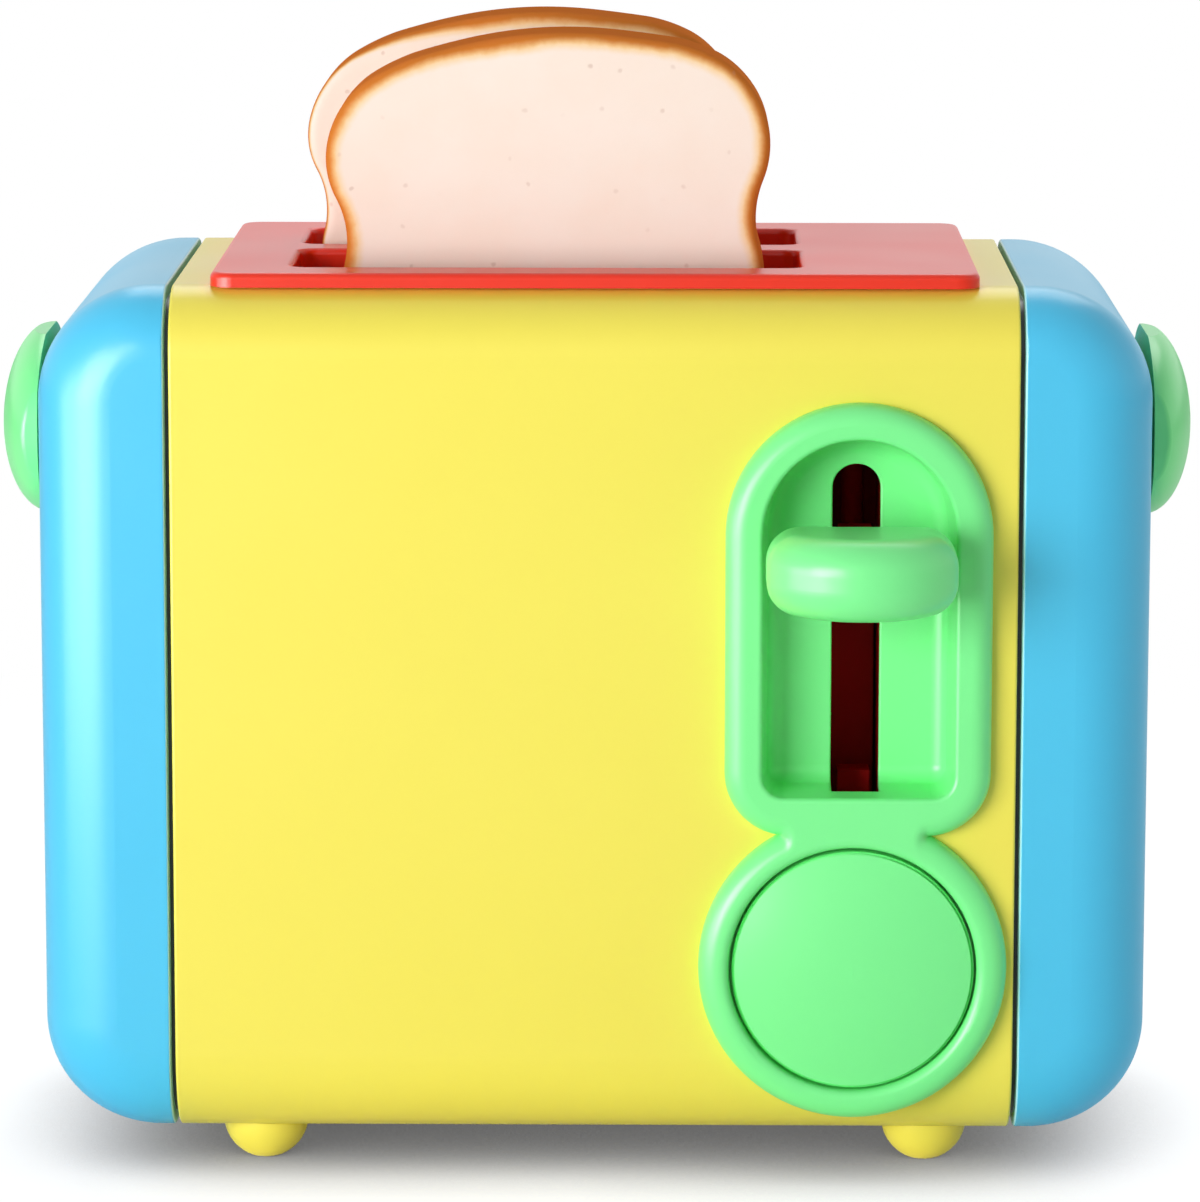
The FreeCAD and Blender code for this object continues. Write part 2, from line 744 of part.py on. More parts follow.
def side_handle(side):
    """A soft grip that stands off the end cap on two bosses."""
    label = "side_handle_" + side_name(side)
    z = (d.handle_z - d.handle_half_height, d.handle_z + d.handle_half_height)
    crown = d.handle_crown - d.handle_inner
    rim = (d.handle_edge - d.handle_inner) / crown
    spread = root(1 - rim * rim)
    pillow = doc.addObject("Part::Ellipsoid", label + "_pillow")
    bind(
        pillow,
        Radius1=d.handle_half_height / spread,
        Radius2=crown,
        Radius3=d.handle_half_width / spread,
    )
    seam_turn = FreeCAD.Rotation(FreeCAD.Vector(0, 0, 1), 180 if side > 0 else 0)
    pillow.Placement = FreeCAD.Placement(FreeCAD.Vector(), seam_turn)
    set_base(pillow, d.handle_inner * side, 0, d.handle_z)
    slab = block(
        label + "_slab",
        sided(side, d.handle_inner, d.handle_crown + PAST),
        (-d.handle_half_width, d.handle_half_width),
        z,
    )
    corner = (d.handle_half_height - 1).value

    def radius(middle, direction):
        return corner if abs(direction.x) > 0.9 else None

    grip = common(label + "_grip", pillow, rounded(label + "_ends", slab, radius))
    soft = rounded(
        label + "_soft",
        grip,
        lambda middle, direction: None if abs(middle.x) < d.handle_inner.value + 0.5 else 1.2,
    )
    boss_end = d.cap_half_length - d.cap_wall + 0.2
    bosses, bores = [], []
    for way in (-1, 1):
        across = (handle_screw_y * way, handle_screw_z)
        name = f"{label}_boss_{way + 1}"
        span = sided(side, boss_end, d.handle_inner + 0.5)
        bosses.append(rod(name, "X", *span, across, BOSS_RADIUS))
        depth = sided(side, boss_end - PAST, d.handle_edge + 0.6)
        bores.append(rod(name + "_bore", "X", *depth, across, SCREW_HOLE))
    finish(cut(label, fused(label + "_solid", soft, *bosses), *bores), label)


def foot(x_side, y_side):
    """A dome on a stem, cut to the curve of the case where the two meet."""
    label = ("foot_front_" if y_side < 0 else "foot_back_") + side_name(x_side)
    place = (d.foot_x * x_side, d.foot_y * y_side)
    centre = root(d.foot_radius * d.foot_radius - d.foot_tip_radius * d.foot_tip_radius)
    ball = doc.addObject("Part::Sphere", label + "_ball")
    bind(ball, Radius=d.foot_radius)
    set_base(ball, *place, centre)
    high = d.case_bottom + 4
    column = rod(label + "_column", "Z", centre, high, place, d.foot_radius)
    reach = d.foot_radius + PAST
    around = [(place[0] - reach, place[0] + reach), (place[1] - reach, place[1] + reach)]
    under_floor = block(label + "_under_floor", *around, (-reach, Size(0)))
    over = block(label + "_over", *around, (high, high + d.foot_radius * 2))
    case = case_bar(label + "_case", around[0], Size(0))
    full = fused(label + "_full", ball, column)
    dome = cut(label + "_dome", full, under_floor, over, case)
    stem_span = (d.case_bottom - PAST, inner_bottom + 3)
    stem = rod(label + "_stem", "Z", *stem_span, place, FOOT_STEM)
    finish(fused(label, dome, stem), label)


# ---------------------------------------------------------------- top plate and bread well


def draw_slots(sketch):
    for _, rows in slots:
        rectangle(sketch, slot_span, rows, d.slot_corner_radius)


def top_plate():
    body = new_body("top_plate")
    length, depth = d.plate_half_length, d.plate_half_depth
    pad(
        body,
        "plate",
        "Z",
        d.case_top,
        plate_top,
        lambda s: rectangle(s, (-length, length), (-depth, depth), d.plate_corner_radius),
    )
    pocket(body, "plate_slots", "Z", d.case_top - PAST, plate_top + PAST, draw_slots)
    round_edges(
        body, "plate_edge", d.plate_edge_radius, lambda edge: lies_at(edge, "Z", plate_top)
    )
    boss_low = inner_top + 0.2
    pad(body, "plate_bosses", "Z", boss_low, d.case_top + 0.5, circles(ears, BOSS_RADIUS))
    bore_top = plate_top - 0.8
    bores = circles(ears, SCREW_HOLE)
    pocket(body, "plate_bores", "Z", boss_low - PAST, bore_top, bores)
    finish(body, "top_plate")


def bread_well():
    """Two channels with a floor, hung by four ears under the roof of the case."""
    body = new_body("bread_well")
    wall = d.well_wall
    across = (d.slot_left - wall, d.slot_right + wall)
    along_y = (d.front_slot_near - wall, d.back_slot_far + wall)
    low = d.well_floor - d.frame_wall
    pad(body, "well", "Z", low, d.case_top, lambda s: rectangle(s, across, along_y, 2))
    pocket(body, "channels", "Z", d.well_floor, d.case_top + PAST, draw_slots)
    gap = (d.front_slot_far + 2, d.back_slot_near - 2)
    pocket(
        body,
        "gap_between_channels",
        "Z",
        low - PAST,
        d.case_top - 2,
        lambda s: rectangle(s, slot_span, gap),
    )
    bar_room = d.rack_half_width + 0.6
    pocket(
        body,
        "rack_slots",
        "X",
        d.slot_right - PAST,
        across[1] + PAST,
        lambda s: [
            rectangle(s, (y - bar_room, y + bar_room), (d.well_floor, d.rack_top + 1.5))
            for y in rack_rows
        ],
    )
    ear_high = inner_top - 0.2
    ear_low = ear_high - d.ear_thickness
    half = Size(4)

    def draw_ears(sketch):
        for x, y in ears:
            if x.value < 0:
                reach = (x - 2.5, across[0] + 0.5)
            else:
                reach = (across[1] - 0.5, x + 3.5)
            rectangle(sketch, reach, (y - half, y + half))

    pad(body, "ears", "Z", ear_low, ear_high, draw_ears)
    bores = circles(ears, SCREW_HOLE)
    pocket(body, "ear_bores", "Z", ear_low - PAST, ear_high + PAST, bores)
    finish(body, "bread_well")
    return ear_low


# ---------------------------------------------------------------- lever panel, button, latch


def arch(grow):
    """The outline of the lever block, or of the recess, larger by `grow`."""
    half = d.recess_half_width + grow
    foot_z = d.recess_foot - grow

    def draw(sketch):
        polygon(
            sketch,
            (d.panel_x - half, foot_z, d.recess_corner_radius + grow),
            (d.panel_x + half, foot_z, d.recess_corner_radius + grow),
            (d.panel_x + half, d.recess_arch + half, half),
            (d.panel_x - half, d.recess_arch + half, half),
        )

    return draw


def control_panel():
    """The lever block with its recess, grown together with the ring around the button."""
    body = new_body("control_panel")
    plate = (panel_face, -d.case_half_depth)
    half = d.panel_half_width

    def lever_block(sketch):
        polygon(
            sketch,
            (d.panel_x - half, d.panel_foot, d.panel_corner_radius),
            (d.panel_x + half, d.panel_foot, d.panel_corner_radius),
            (d.panel_x + half, d.panel_arch + half, half),
            (d.panel_x - half, d.panel_arch + half, half),
        )

    pad(body, "lever_block", "Y", *plate, lever_block)
    ring = [(d.ring_x, d.ring_z)]
    pad(body, "button_ring", "Y", *plate, circles(ring, d.ring_radius))
    round_edges(
        body,
        "panel_edge",
        d.panel_edge_radius,
        lambda edge: lies_at(edge, "Y", panel_face),
    )
    draft = -d.recess_draft
    pad(body, "recess_cup", "Y", panel_face + 1, cup_back, arch(d.panel_wall), draft=draft)
    pocket(body, "recess", "Y", panel_face, recess_floor, arch(Size(0)), draft=draft)
    round_edges(
        body,
        "recess_floor_blend",
        d.recess_corner_radius - 1,
        lambda edge: lies_at(edge, "Y", recess_floor),
    )
    round_edges(body, "rim_edge", Size(0.9), on_rim)
    left, right = d.lever_slot_left, d.lever_slot_right
    half_slot = (right - left) / 2
    pocket(
        body,
        "lever_slot",
        "Y",
        recess_floor - d.lever_slot_step,
        cup_back + PAST,
        lambda s: polygon(
            s,
            (left, d.lever_slot_foot, 1.2),
            (right, d.lever_slot_foot, 1.2),
            (right, d.lever_slot_top, half_slot),
            (left, d.lever_slot_top, half_slot),
        ),
    )

    def on_slot(edge):
        box = edge.BoundBox
        between = box.XMin > left.value - 0.1 and box.XMax < right.value + 0.1
        return between and lies_at(edge, "Y", recess_floor)

    round_edges(body, "slot_edge", Size(0.4), on_slot)
    through = (panel_face - PAST, -d.case_half_depth + PAST)
    pocket(body, "button_hole", "Y", *through, circles(ring, button_hole))
    round_edges(body, "hole_edge", d.hole_edge_radius, on_button_rim)
    boss_end = -inner_depth - 0.2
    face = -d.case_half_depth
    pad(body, "bosses", "Y", face - 0.5, boss_end, circles(panel_screws_at, PANEL_BOSS))
    pocket(
        body,
        "boss_bores",
        "Y",
        face - 3,
        boss_end + PAST,
        circles(panel_screws_at, PANEL_SCREW + d.fit_gap),
    )
    behind_ring = (-d.case_half_depth - 0.5, -d.case_half_depth + d.panel_raise + PAST)
    middle = (d.ring_x, d.ring_z)
    disc = rod("ring_skirt_disc", "Y", *behind_ring, middle, d.ring_radius)
    flange_room = flange_radius + d.button_gap
    hole = rod("ring_skirt_hole", "Y", panel_face, Size(0), middle, flange_room)
    beside_ring = (d.ring_x - d.ring_radius - PAST, d.ring_x + d.ring_radius + PAST)
    case = case_bar("ring_skirt_case", beside_ring, Size(0))
    skirt = cut("ring_skirt", disc, hole, case)
    finish(fused("control_panel", body, skirt), "control_panel")


def on_rim(edge):
    """Edges of the recess in the panel's face."""
    box = edge.BoundBox
    inside = box.XMin > (d.panel_x - d.recess_half_width).value - 0.2
    return lies_at(edge, "Y", panel_face) and inside and box.ZMin > d.recess_foot.value - 0.2


def on_button_rim(edge):
    """The circle of the button hole in the panel's face."""
    width = edge.BoundBox.XLength
    return lies_at(edge, "Y", panel_face) and abs(width - button_hole.value * 2) < 0.01


def turned(name, outline):
    """A body turned about the Y direction: outline is drawn as (y, radius)."""
    body = new_body(name)
    sketch = sketch_on(body, name + "_outline", "X", 0)
    trace(sketch, outline[0], *outline[1:], outline[0])
    feature = body.newObject("PartDesign::Revolution", name + "_turned")
    feature.Profile = sketch
    feature.ReferenceAxis = (sketch, ["H_Axis"])
    feature.Angle = 360
    return body


button_seat = Size(-44)
guide_back = Size(-32.5)
guide_front = guide_back - d.frame_wall
stem_radius = Size(3.6)
nose_radius = Size(1.2)
nose_tip = d.pivot_y - d.latch_half_thickness - 0.5


def release_button():
    """A domed cap on a stem; a flange behind the panel keeps it from falling out."""
    crown = d.button_crown
    edge = d.button_edge_radius
    face_half = d.button_radius - edge
    dome = (face_half * face_half + crown * crown) / (crown * 2)
    front = panel_face - d.button_front
    shoulder = front + crown
    flange = -d.case_half_depth + 0.3
    inner = Size(2.4)
    body = turned(
        "release_button",
        [
            (front, Size(0)),
            (nose_tip, Size(0)),
            (nose_tip, nose_radius),
            (guide_back + 0.6, nose_radius),
            (guide_back - 0.4, stem_radius),
            (button_seat, stem_radius),
            (button_seat, Size(8)),
            (shoulder + inner, Size(8)),
            (shoulder + inner, face_half - 1.4),
            (flange + 1.5, face_half - 1.4),
            (flange + 1.5, flange_radius),
            (flange, flange_radius),
            (flange, d.button_radius),
            (shoulder + edge, d.button_radius),
            (shoulder, face_half, edge, (shoulder + edge, face_half), -1),
            (front, Size(0), dome, (front + dome, Size(0)), 1),
        ],
    )
    finish(body, "release_button", d.ring_x, d.ring_z)


def spring(label, axis, low, high, across, outer, inner):
    """The room that a coil spring takes, as a sleeve."""
    sleeve = rod(label + "_outside", axis, low, high, across, outer)
    core = rod(label + "_inside", axis, as_size(low) - PAST, as_size(high) + PAST, across, inner)
    finish(cut(label, sleeve, core), label)


def latch_lever():
    """A rocking bar: the button pushes its lower arm, its tooth holds the carriage down."""
    middle, half = d.pivot_y, d.latch_half_thickness
    width = (d.rod_x - 2.8, d.rod_x + 3)
    tooth_high = d.tooth_low + d.tooth_height
    bar = block("latch_bar", width, (middle - half, middle + half), (Size(30), tooth_high))
    tooth = block("latch_tooth", width, (middle, d.tooth_tip), (d.tooth_low, tooth_high))
    hub_radius = d.pivot_radius + 1.3
    hub = rod("latch_hub", "X", *width, (middle, d.pivot_z), hub_radius)
    bore = rod(
        "latch_bore",
        "X",
        width[0] - PAST,
        width[1] + PAST,
        (middle, d.pivot_z),
        d.pivot_radius + d.fit_gap,
    )
    finish(cut("latch_lever", fused("latch_solid", bar, tooth, hub), bore), "latch_lever")


# ---------------------------------------------------------------- carriage and its frame

ear_span = (Size(41), Size(43))
shelf_y = (Size(-20.4), Size(-19.2))
latch_spring_z = Size(47)
floor_low = inner_bottom
floor_high = inner_bottom + 3


def carriage_frame():
    """The bracket that holds guide rod, latch and button stem."""
    wall = d.frame_wall
    right = (d.frame_right, d.frame_right + wall)
    depth = (d.frame_front, d.frame_back + wall)
    back = (d.frame_back, d.frame_back + wall)
    roof = (d.frame_head, d.frame_head + 2.8)
    beside_slot = cup_back + 0.4
    pieces = [
        block("frame_floor", (ear_span[0] - 1, right[1]), depth, (floor_low, floor_high)),
        block(
            "frame_tongue",
            (Size(28), ear_span[0]),
            (Size(-19), Size(-9)),
            (floor_low, floor_high),
        ),
        block("frame_side", right, depth, (floor_low, roof[1])),
        block(
            "frame_cheek",
            right,
            (beside_slot, d.frame_front + PAST),
            (Size(68), Size(133)),
        ),
        block("frame_back", (ear_span[1], right[1]), back, (floor_low, roof[1])),
        block("frame_roof", (ear_span[1], right[1]), depth, roof),
        block("frame_ear", ear_span, (guide_front, Size(-24)), (floor_low + 1, Size(69))),
        block(
            "frame_guide",
            (ear_span[0], right[1]),
            (guide_front, guide_back),
            (Size(28), Size(53)),
        ),
        block(
            "frame_shelf",
            (d.rod_x - 2.6, right[1]),
            shelf_y,
            (latch_spring_z - 3, latch_spring_z + 3),
        ),
    ]
    for number, place in enumerate(frame_screws_at):
        high = floor_high + 5.6
        pieces.append(rod(f"frame_post_{number}", "Z", floor_low, high, place, POST_RADIUS))
    bores = [
        rod(
            f"frame_post_bore_{number}",
            "Z",
            floor_low - PAST,
            floor_high + 5,
            place,
            SCREW_HOLE,
        )
        for number, place in enumerate(frame_screws_at)
    ]
    bores.append(
        rod(
            "frame_rod_bore",
            "Z",
            floor_low + 1,
            roof[1] + PAST,
            (d.rod_x, d.rod_y),
            d.rod_radius + d.fit_gap,
        )
    )
    pin_span = (ear_span[0] - PAST, right[1] + PAST)
    pin_place = (d.pivot_y, d.pivot_z)
    pin_hole = d.pivot_radius + d.fit_gap
    bores.append(rod("frame_pin_bore", "X", *pin_span, pin_place, pin_hole))
    bores.append(
        rod(
            "frame_stem_bore",
            "Y",
            guide_front - PAST,
            guide_back + d.button_travel + PAST,
            (d.ring_x, d.ring_z),
            stem_radius + 0.4,
        )
    )
    finish(cut("carriage_frame", fused("frame_solid", *pieces), *bores), "carriage_frame")


def rods_and_pins():
    across = (d.rod_x, d.rod_y)
    high = d.frame_head + 2.8
    finish(rod("guide_rod", "Z", floor_low + 1, high, across, d.rod_radius), "guide_rod")
    span = (ear_span[0], d.frame_right + d.frame_wall)
    pin = rod("latch_pin", "X", *span, (d.pivot_y, d.pivot_z), d.pivot_radius)
    finish(pin, "latch_pin")


slider_low = Size(106)
slider_high = Size(114)
sleeve_low = Size(66)
grip_end = Size(-70)


def bread_carriage():
    """The slider on its rod, with the lever arm, the catch hook and the two rack bars."""
    beam_x = (d.slot_right + d.well_wall + 0.6, ear_span[1] - 0.4)
    catch = d.tooth_low + d.lever_travel - d.hook_gap
    hook_low = catch - 2.2
    stem = (Size(-24), Size(-21.5))
    pieces = [
        block(
            "slider",
            (beam_x[1], d.frame_right - 0.5),
            (Size(-30), Size(-11)),
            (slider_low, slider_high),
        ),
        block(
            "slider_sleeve",
            (d.rod_x - 3.9, d.rod_x + 3.9),
            (d.rod_y - 3.9, d.rod_y + 3.9),
            (sleeve_low, slider_low + PAST),
        ),
        block(
            "cross_beam",
            beam_x,
            (Size(-18), rack_rows[1] + d.rack_half_width),
            (slider_low, d.rack_top),
        ),
        block("lever_arm", arm_span, (grip_end, Size(-28)), (d.arm_low, d.arm_high)),
        block("hook_stem", arm_span, stem, (hook_low, slider_low + PAST)),
        block("hook_tip", arm_span, (Size(-26.9), stem[1]), (hook_low, catch)),
    ]
    bar_z = (d.rack_top - d.rack_height, d.rack_top)
    for name, y in zip(("front", "back"), rack_rows):
        width = (y - d.rack_half_width, y + d.rack_half_width)
        bar_x = (d.slot_left + 8.5, beam_x[1] - 0.5)
        pieces.append(block(f"rack_bar_{name}", bar_x, width, bar_z))
    bore = rod(
        "slider_bore",
        "Z",
        sleeve_low - PAST,
        slider_high + PAST,
        (d.rod_x, d.rod_y),
        d.rod_radius + d.fit_gap,
    )
    finish(cut("bread_carriage", fused("carriage_solid", *pieces), bore), "bread_carriage")


def lever_knob():
    """A soft D-shaped grip with a socket for the lever arm."""
    body = new_body("lever_knob")
    r, half = d.knob_edge_radius, d.knob_half_width
    nose = d.knob_nose_radius
    centre = d.knob_front + nose
    reach = nose - r
    inner = half - r
    blend_y = centre - root(reach * reach - inner * inner)
    scale = nose / reach
    tangent_x = inner * scale
    tangent_y = centre - (centre - blend_y) * scale
    x, back = d.panel_x, d.knob_back

    def outline(s):
        trace(
            s,
            (x - inner, back),
            (x - half, back - r, r, (x - inner, back - r), 1),
            (x - half, blend_y),
            (x - tangent_x, tangent_y, r, (x - inner, blend_y), 1),
            (x + tangent_x, tangent_y, nose, (x, centre), 1),
            (x + half, blend_y, r, (x + inner, blend_y), 1),
            (x + half, back - r),
            (x + inner, back, r, (x + inner, back - r), 1),
            (x - inner, back),
        )

    pad(body, "grip", "Z", d.knob_low, d.knob_high, outline)
    round_edges(
        body,
        "grip_edges",
        r - 0.2,
        lambda edge: lies_at(edge, "Z", d.knob_low) or lies_at(edge, "Z", d.knob_high),
    )
    fit = d.fit_gap
    pocket(
        body,
        "socket",
        "Y",
        grip_end - fit,
        back + PAST,
        lambda s: rectangle(
            s,
            (arm_span[0] - fit, arm_span[1] + fit),
            (d.arm_low - fit, d.arm_high + fit),
        ),
    )
    finish(body, "lever_knob")


# ---------------------------------------------------------------- bread


def slice_outline(sketch, foot_z):
    """Waisted sides, round shoulders and a gently arched top, about X = 0."""
    corner = d.slice_corner_radius
    waist_centre = (d.slice_waist + d.slice_waist_radius, d.slice_waist_z)
    r = d.slice_waist_radius
    flare_x = waist_centre[0] - r * FLARE_COS
    flare_z = waist_centre[1] - r * FLARE_SIN
    side_centre = (flare_x - r * FLARE_COS, flare_z - r * FLARE_SIN)
    ear = (d.slice_ear_x, d.slice_ear_z)
    run = waist_centre[0] - ear[0]
    rise = ear[1] - waist_centre[1]
    gap = root(run * run + rise * rise)
    meet = (ear[0] + run * d.slice_ear_radius / gap, ear[1] - rise * d.slice_ear_radius / gap)
    drop = d.slice_top - ear[1]
    crown = (ear[0] * ear[0] + drop * drop - d.slice_ear_radius * d.slice_ear_radius) / (
        (drop - d.slice_ear_radius) * 2
    )
    crown_z = d.slice_top - crown
    scale = crown / (crown - d.slice_ear_radius)
    shoulder = (ear[0] * scale, crown_z + (ear[1] - crown_z) * scale)

    right = [
        (slice_side, side_centre[1]),
        (flare_x, flare_z, r, side_centre, 1),
        (*meet, gap - d.slice_ear_radius, waist_centre, -1),
        (*shoulder, d.slice_ear_radius, ear, 1),
    ]
    over_the_top = (-shoulder[0], shoulder[1], crown, (Size(0), crown_z), 1)
    back_down = [
        (*meet, d.slice_ear_radius, ear, -1),
        (flare_x, flare_z, gap - d.slice_ear_radius, waist_centre, 1),
        (slice_side, side_centre[1], r, side_centre, -1),
    ]
    inner = slice_side - corner
    corner_z = foot_z + corner
    base = [
        (-slice_side, corner_z),
        (-inner, foot_z, corner, (-inner, corner_z), 1),
        (inner, foot_z),
        (slice_side, corner_z, corner, (inner, corner_z), 1),
    ]
    left = [mirrored(step) for step in back_down]
    trace(sketch, (slice_side, corner_z), *right, over_the_top, *left, *base)


def mirrored(step):
    """An outline step on the left-hand side."""
    if len(step) == 2:
        return (-step[0], step[1])
    u, v, radius, centre, turn = step
    return (-u, v, radius, (-centre[0], centre[1]), -turn)


FLARE = 15  # degrees of the waist's curve below its narrowest point
FLARE_COS = Size(math.cos(math.radians(FLARE)), f"cos({FLARE} deg)")
FLARE_SIN = Size(math.sin(math.radians(FLARE)), f"sin({FLARE} deg)")
slice_side = (
    d.slice_waist + d.slice_waist_radius - d.slice_waist_radius * FLARE_COS * 2 + d.slice_waist_radius
)


def bread_slice(label, x, y, lean, lift):
    """A slice that leans a little about its middle, with its lower corner on the rack."""
    turn = math.radians(lean.value)
    cosine = Size(math.cos(turn), f"cos({lean.text} * 1 deg)")
    sine = Size(math.sin(turn), f"sin({lean.text} * 1 deg)")
    pivot, corner = d.slice_pivot, d.slice_corner_radius
    below = pivot + lift - d.rack_top - corner - (slice_side - corner) * sine
    foot_z = pivot - below / cosine - corner
    body = new_body(label)
    half = d.slice_thickness / 2
    pad(body, label + "_slice", "Y", y - half, y + half, lambda s: slice_outline(s, foot_z))
    faces = (y - half, y + half)
    round_edges(
        body,
        label + "_edges",
        d.slice_edge_radius,
        lambda edge: any(lies_at(edge, "Y", face) for face in faces),
    )
    leaning = FreeCAD.Rotation(FreeCAD.Vector(0, -1, 0), lean.value)
    body.Placement = FreeCAD.Placement(FreeCAD.Vector(), leaning)
    body.setExpression("Placement.Rotation.Angle", lean.text)
    finish(body, label, x + pivot * sine, pivot + lift - pivot * cosine)


# ---------------------------------------------------------------- screws


def screws(label, axis, seat, way, places, reach, radius=SCREW_RADIUS, head=HEAD_RADIUS):
    """Equal pan-head screws with a cross recess. way is +1 where the tips point up the axis."""
    body = new_body(label)
    seat = as_size(seat)
    shaft = (seat, seat + reach) if way > 0 else (seat - reach, seat)
    top = (seat - HEAD_HEIGHT, seat) if way > 0 else (seat, seat + HEAD_HEIGHT)
    pad(body, label + "_heads", axis, *top, circles(places, head))
    pad(body, label + "_shafts", axis, *shaft, circles(places, radius))
    recess = (top[0] - PAST, top[0] + 1) if way > 0 else (top[1] - 1, top[1] + PAST)
    long, short = head * 0.6, head * 0.14

    def crosses(sketch):
        for u, v in places:
            polygon(
                sketch,
                (u - long, v - short),
                (u - short, v - short),
                (u - short, v - long),
                (u + short, v - long),
                (u + short, v - short),
                (u + long, v - short),
                (u + long, v + short),
                (u + short, v + short),
                (u + short, v + long),
                (u - short, v + long),
                (u - short, v + short),
                (u - long, v + short),
            )

    pocket(body, label + "_crosses", axis, *recess, crosses)
    finish(body, label)


def all_screws(ear_low):
    screws("shell_screws", "Y", SCREW_SEAT, -1, shell_screws_at, SCREW_SEAT + 11)
    for side in (-1, 1):
        name = side_name(side)
        below = [(cap_screw_x * side, cap_screw_y * way) for way in (-1, 1)]
        screws("cap_screws_" + name, "Z", d.case_bottom, 1, below, Size(6.8))
        behind = [(handle_screw_y * way, handle_screw_z) for way in (-1, 1)]
        seat = (d.cap_half_length - d.cap_wall) * side
        screws("handle_screws_" + name, "X", seat, side, behind, Size(6.6), head=POST_RADIUS)
    screws("plate_screws", "Z", ear_low, 1, ears, Size(7.2))
    screws(
        "panel_screws",
        "Y",
        -inner_depth,
        -1,
        panel_screws_at,
        Size(5),
        radius=PANEL_SCREW,
        head=Size(2.2),
    )
    screws("frame_screws", "Z", d.case_bottom, 1, frame_screws_at, Size(9))


# ---------------------------------------------------------------- build

front_shell()
back_shell()
for side in (-1, 1):
    end_cap(side)
    side_handle(side)
    for y_side in (-1, 1):
        foot(side, y_side)
top_plate()
ear_low = bread_well()
control_panel()
carriage_frame()
rods_and_pins()
bread_carriage()
lever_knob()
release_button()
latch_lever()
rod_at = (d.rod_x, d.rod_y)
stem_at = (d.ring_x, d.ring_z)
spring("lift_spring", "Z", floor_high, sleeve_low, rod_at, Size(3.7), Size(2.7))
spring("button_spring", "Y", button_seat, guide_front, stem_at, Size(6.2), Size(5.0))
spring(
    "latch_spring",
    "Y",
    d.pivot_y + d.latch_half_thickness,
    shelf_y[0],
    (d.rod_x, latch_spring_z),
    Size(2.2),
    Size(1.5),
)
bread_slice("toast_front", d.slice_x, d.slice_front_y, d.front_lean, Size(0))
bread_slice(
    "toast_back", d.slice_x + d.slice_shift, d.slice_back_y, d.back_lean, d.back_lift
)
all_screws(ear_low)

doc.recompute()
faults = []
for thing in doc.Objects:
    if {"Invalid", "Error"} & set(thing.State):
        faults.append(f"{thing.Name}: {thing.State}")
    if not thing.isDerivedFrom("Part::Feature"):
        continue
    if thing.Shape.isNull() or (thing in sub_parts and not thing.Shape.isValid()):
        faults.append(f"{thing.Name}: no valid shape")
    elif thing.TypeId == "PartDesign::Pocket":
        taken = thing.BaseFeature.Shape.Volume - thing.Shape.Volume
        if taken < 1e-3:
            faults.append(f"{thing.Name}: this pocket takes nothing away")
if faults:
    raise RuntimeError("; ".join(faults))

os.makedirs("parts", exist_ok=True)
for thing in sub_parts:
    thing.Shape.exportStep(f"parts/{thing.Label}.step")
    print(f"{thing.Label}: {len(thing.Shape.Solids)} solid(s), {thing.Shape.Volume / 1000:.2f} cm3")
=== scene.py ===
import json
import math

import bmesh
import bpy
import numpy as np
from mathutils import Matrix, Vector


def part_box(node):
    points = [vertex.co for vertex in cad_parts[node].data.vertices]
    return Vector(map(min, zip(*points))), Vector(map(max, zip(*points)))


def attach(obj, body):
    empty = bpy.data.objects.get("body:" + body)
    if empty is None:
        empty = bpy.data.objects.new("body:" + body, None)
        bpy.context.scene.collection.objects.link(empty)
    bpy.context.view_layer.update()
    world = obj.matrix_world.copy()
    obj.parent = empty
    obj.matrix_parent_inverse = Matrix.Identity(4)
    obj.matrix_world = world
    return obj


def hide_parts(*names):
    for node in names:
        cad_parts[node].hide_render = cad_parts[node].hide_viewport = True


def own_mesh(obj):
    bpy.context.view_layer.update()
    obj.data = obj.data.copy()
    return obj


# The looks of a toy pop-up toaster: its finishes, its bread, its springs and a white setting.

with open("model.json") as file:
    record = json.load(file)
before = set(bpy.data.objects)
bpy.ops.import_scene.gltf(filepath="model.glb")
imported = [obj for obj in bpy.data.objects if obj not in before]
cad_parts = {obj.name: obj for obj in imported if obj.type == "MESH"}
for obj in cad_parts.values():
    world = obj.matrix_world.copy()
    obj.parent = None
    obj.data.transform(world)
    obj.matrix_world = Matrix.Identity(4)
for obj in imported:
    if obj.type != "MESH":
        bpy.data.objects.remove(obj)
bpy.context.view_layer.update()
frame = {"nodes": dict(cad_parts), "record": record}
MM = 0.001
FLOAT, COLOUR = "NodeSocketFloat", "NodeSocketColor"

# ---------------------------------------------------------------- node trees


def add(tree, kind, setup=None, **inputs):
    """A new node; setup holds its properties, and an input is a value or a node's output."""
    node = tree.nodes.new(kind)
    for name, value in (setup or {}).items():
        setattr(node, name, value)
    for name, value in inputs.items():
        feed(tree, node.inputs[name.replace("_", " ")], value)
    return node


def feed(tree, socket, value):
    """Links an output to a socket, or sets the socket to a value."""
    if isinstance(value, bpy.types.NodeSocket):
        tree.links.new(value, socket)
    else:
        socket.default_value = value


def maths(tree, operation, a, b=0.0):
    """The result of a sum on two values."""
    node = add(tree, "ShaderNodeMath", {"operation": operation})
    feed(tree, node.inputs[0], a)
    feed(tree, node.inputs[1], b)
    return node.outputs[0]


def mixed(tree, factor, a, b):
    """A colour between a and b."""
    node = add(tree, "ShaderNodeMix", {"data_type": "RGBA"}, Factor=factor)
    feed(tree, node.inputs[6], a)
    feed(tree, node.inputs[7], b)
    return node.outputs[2]


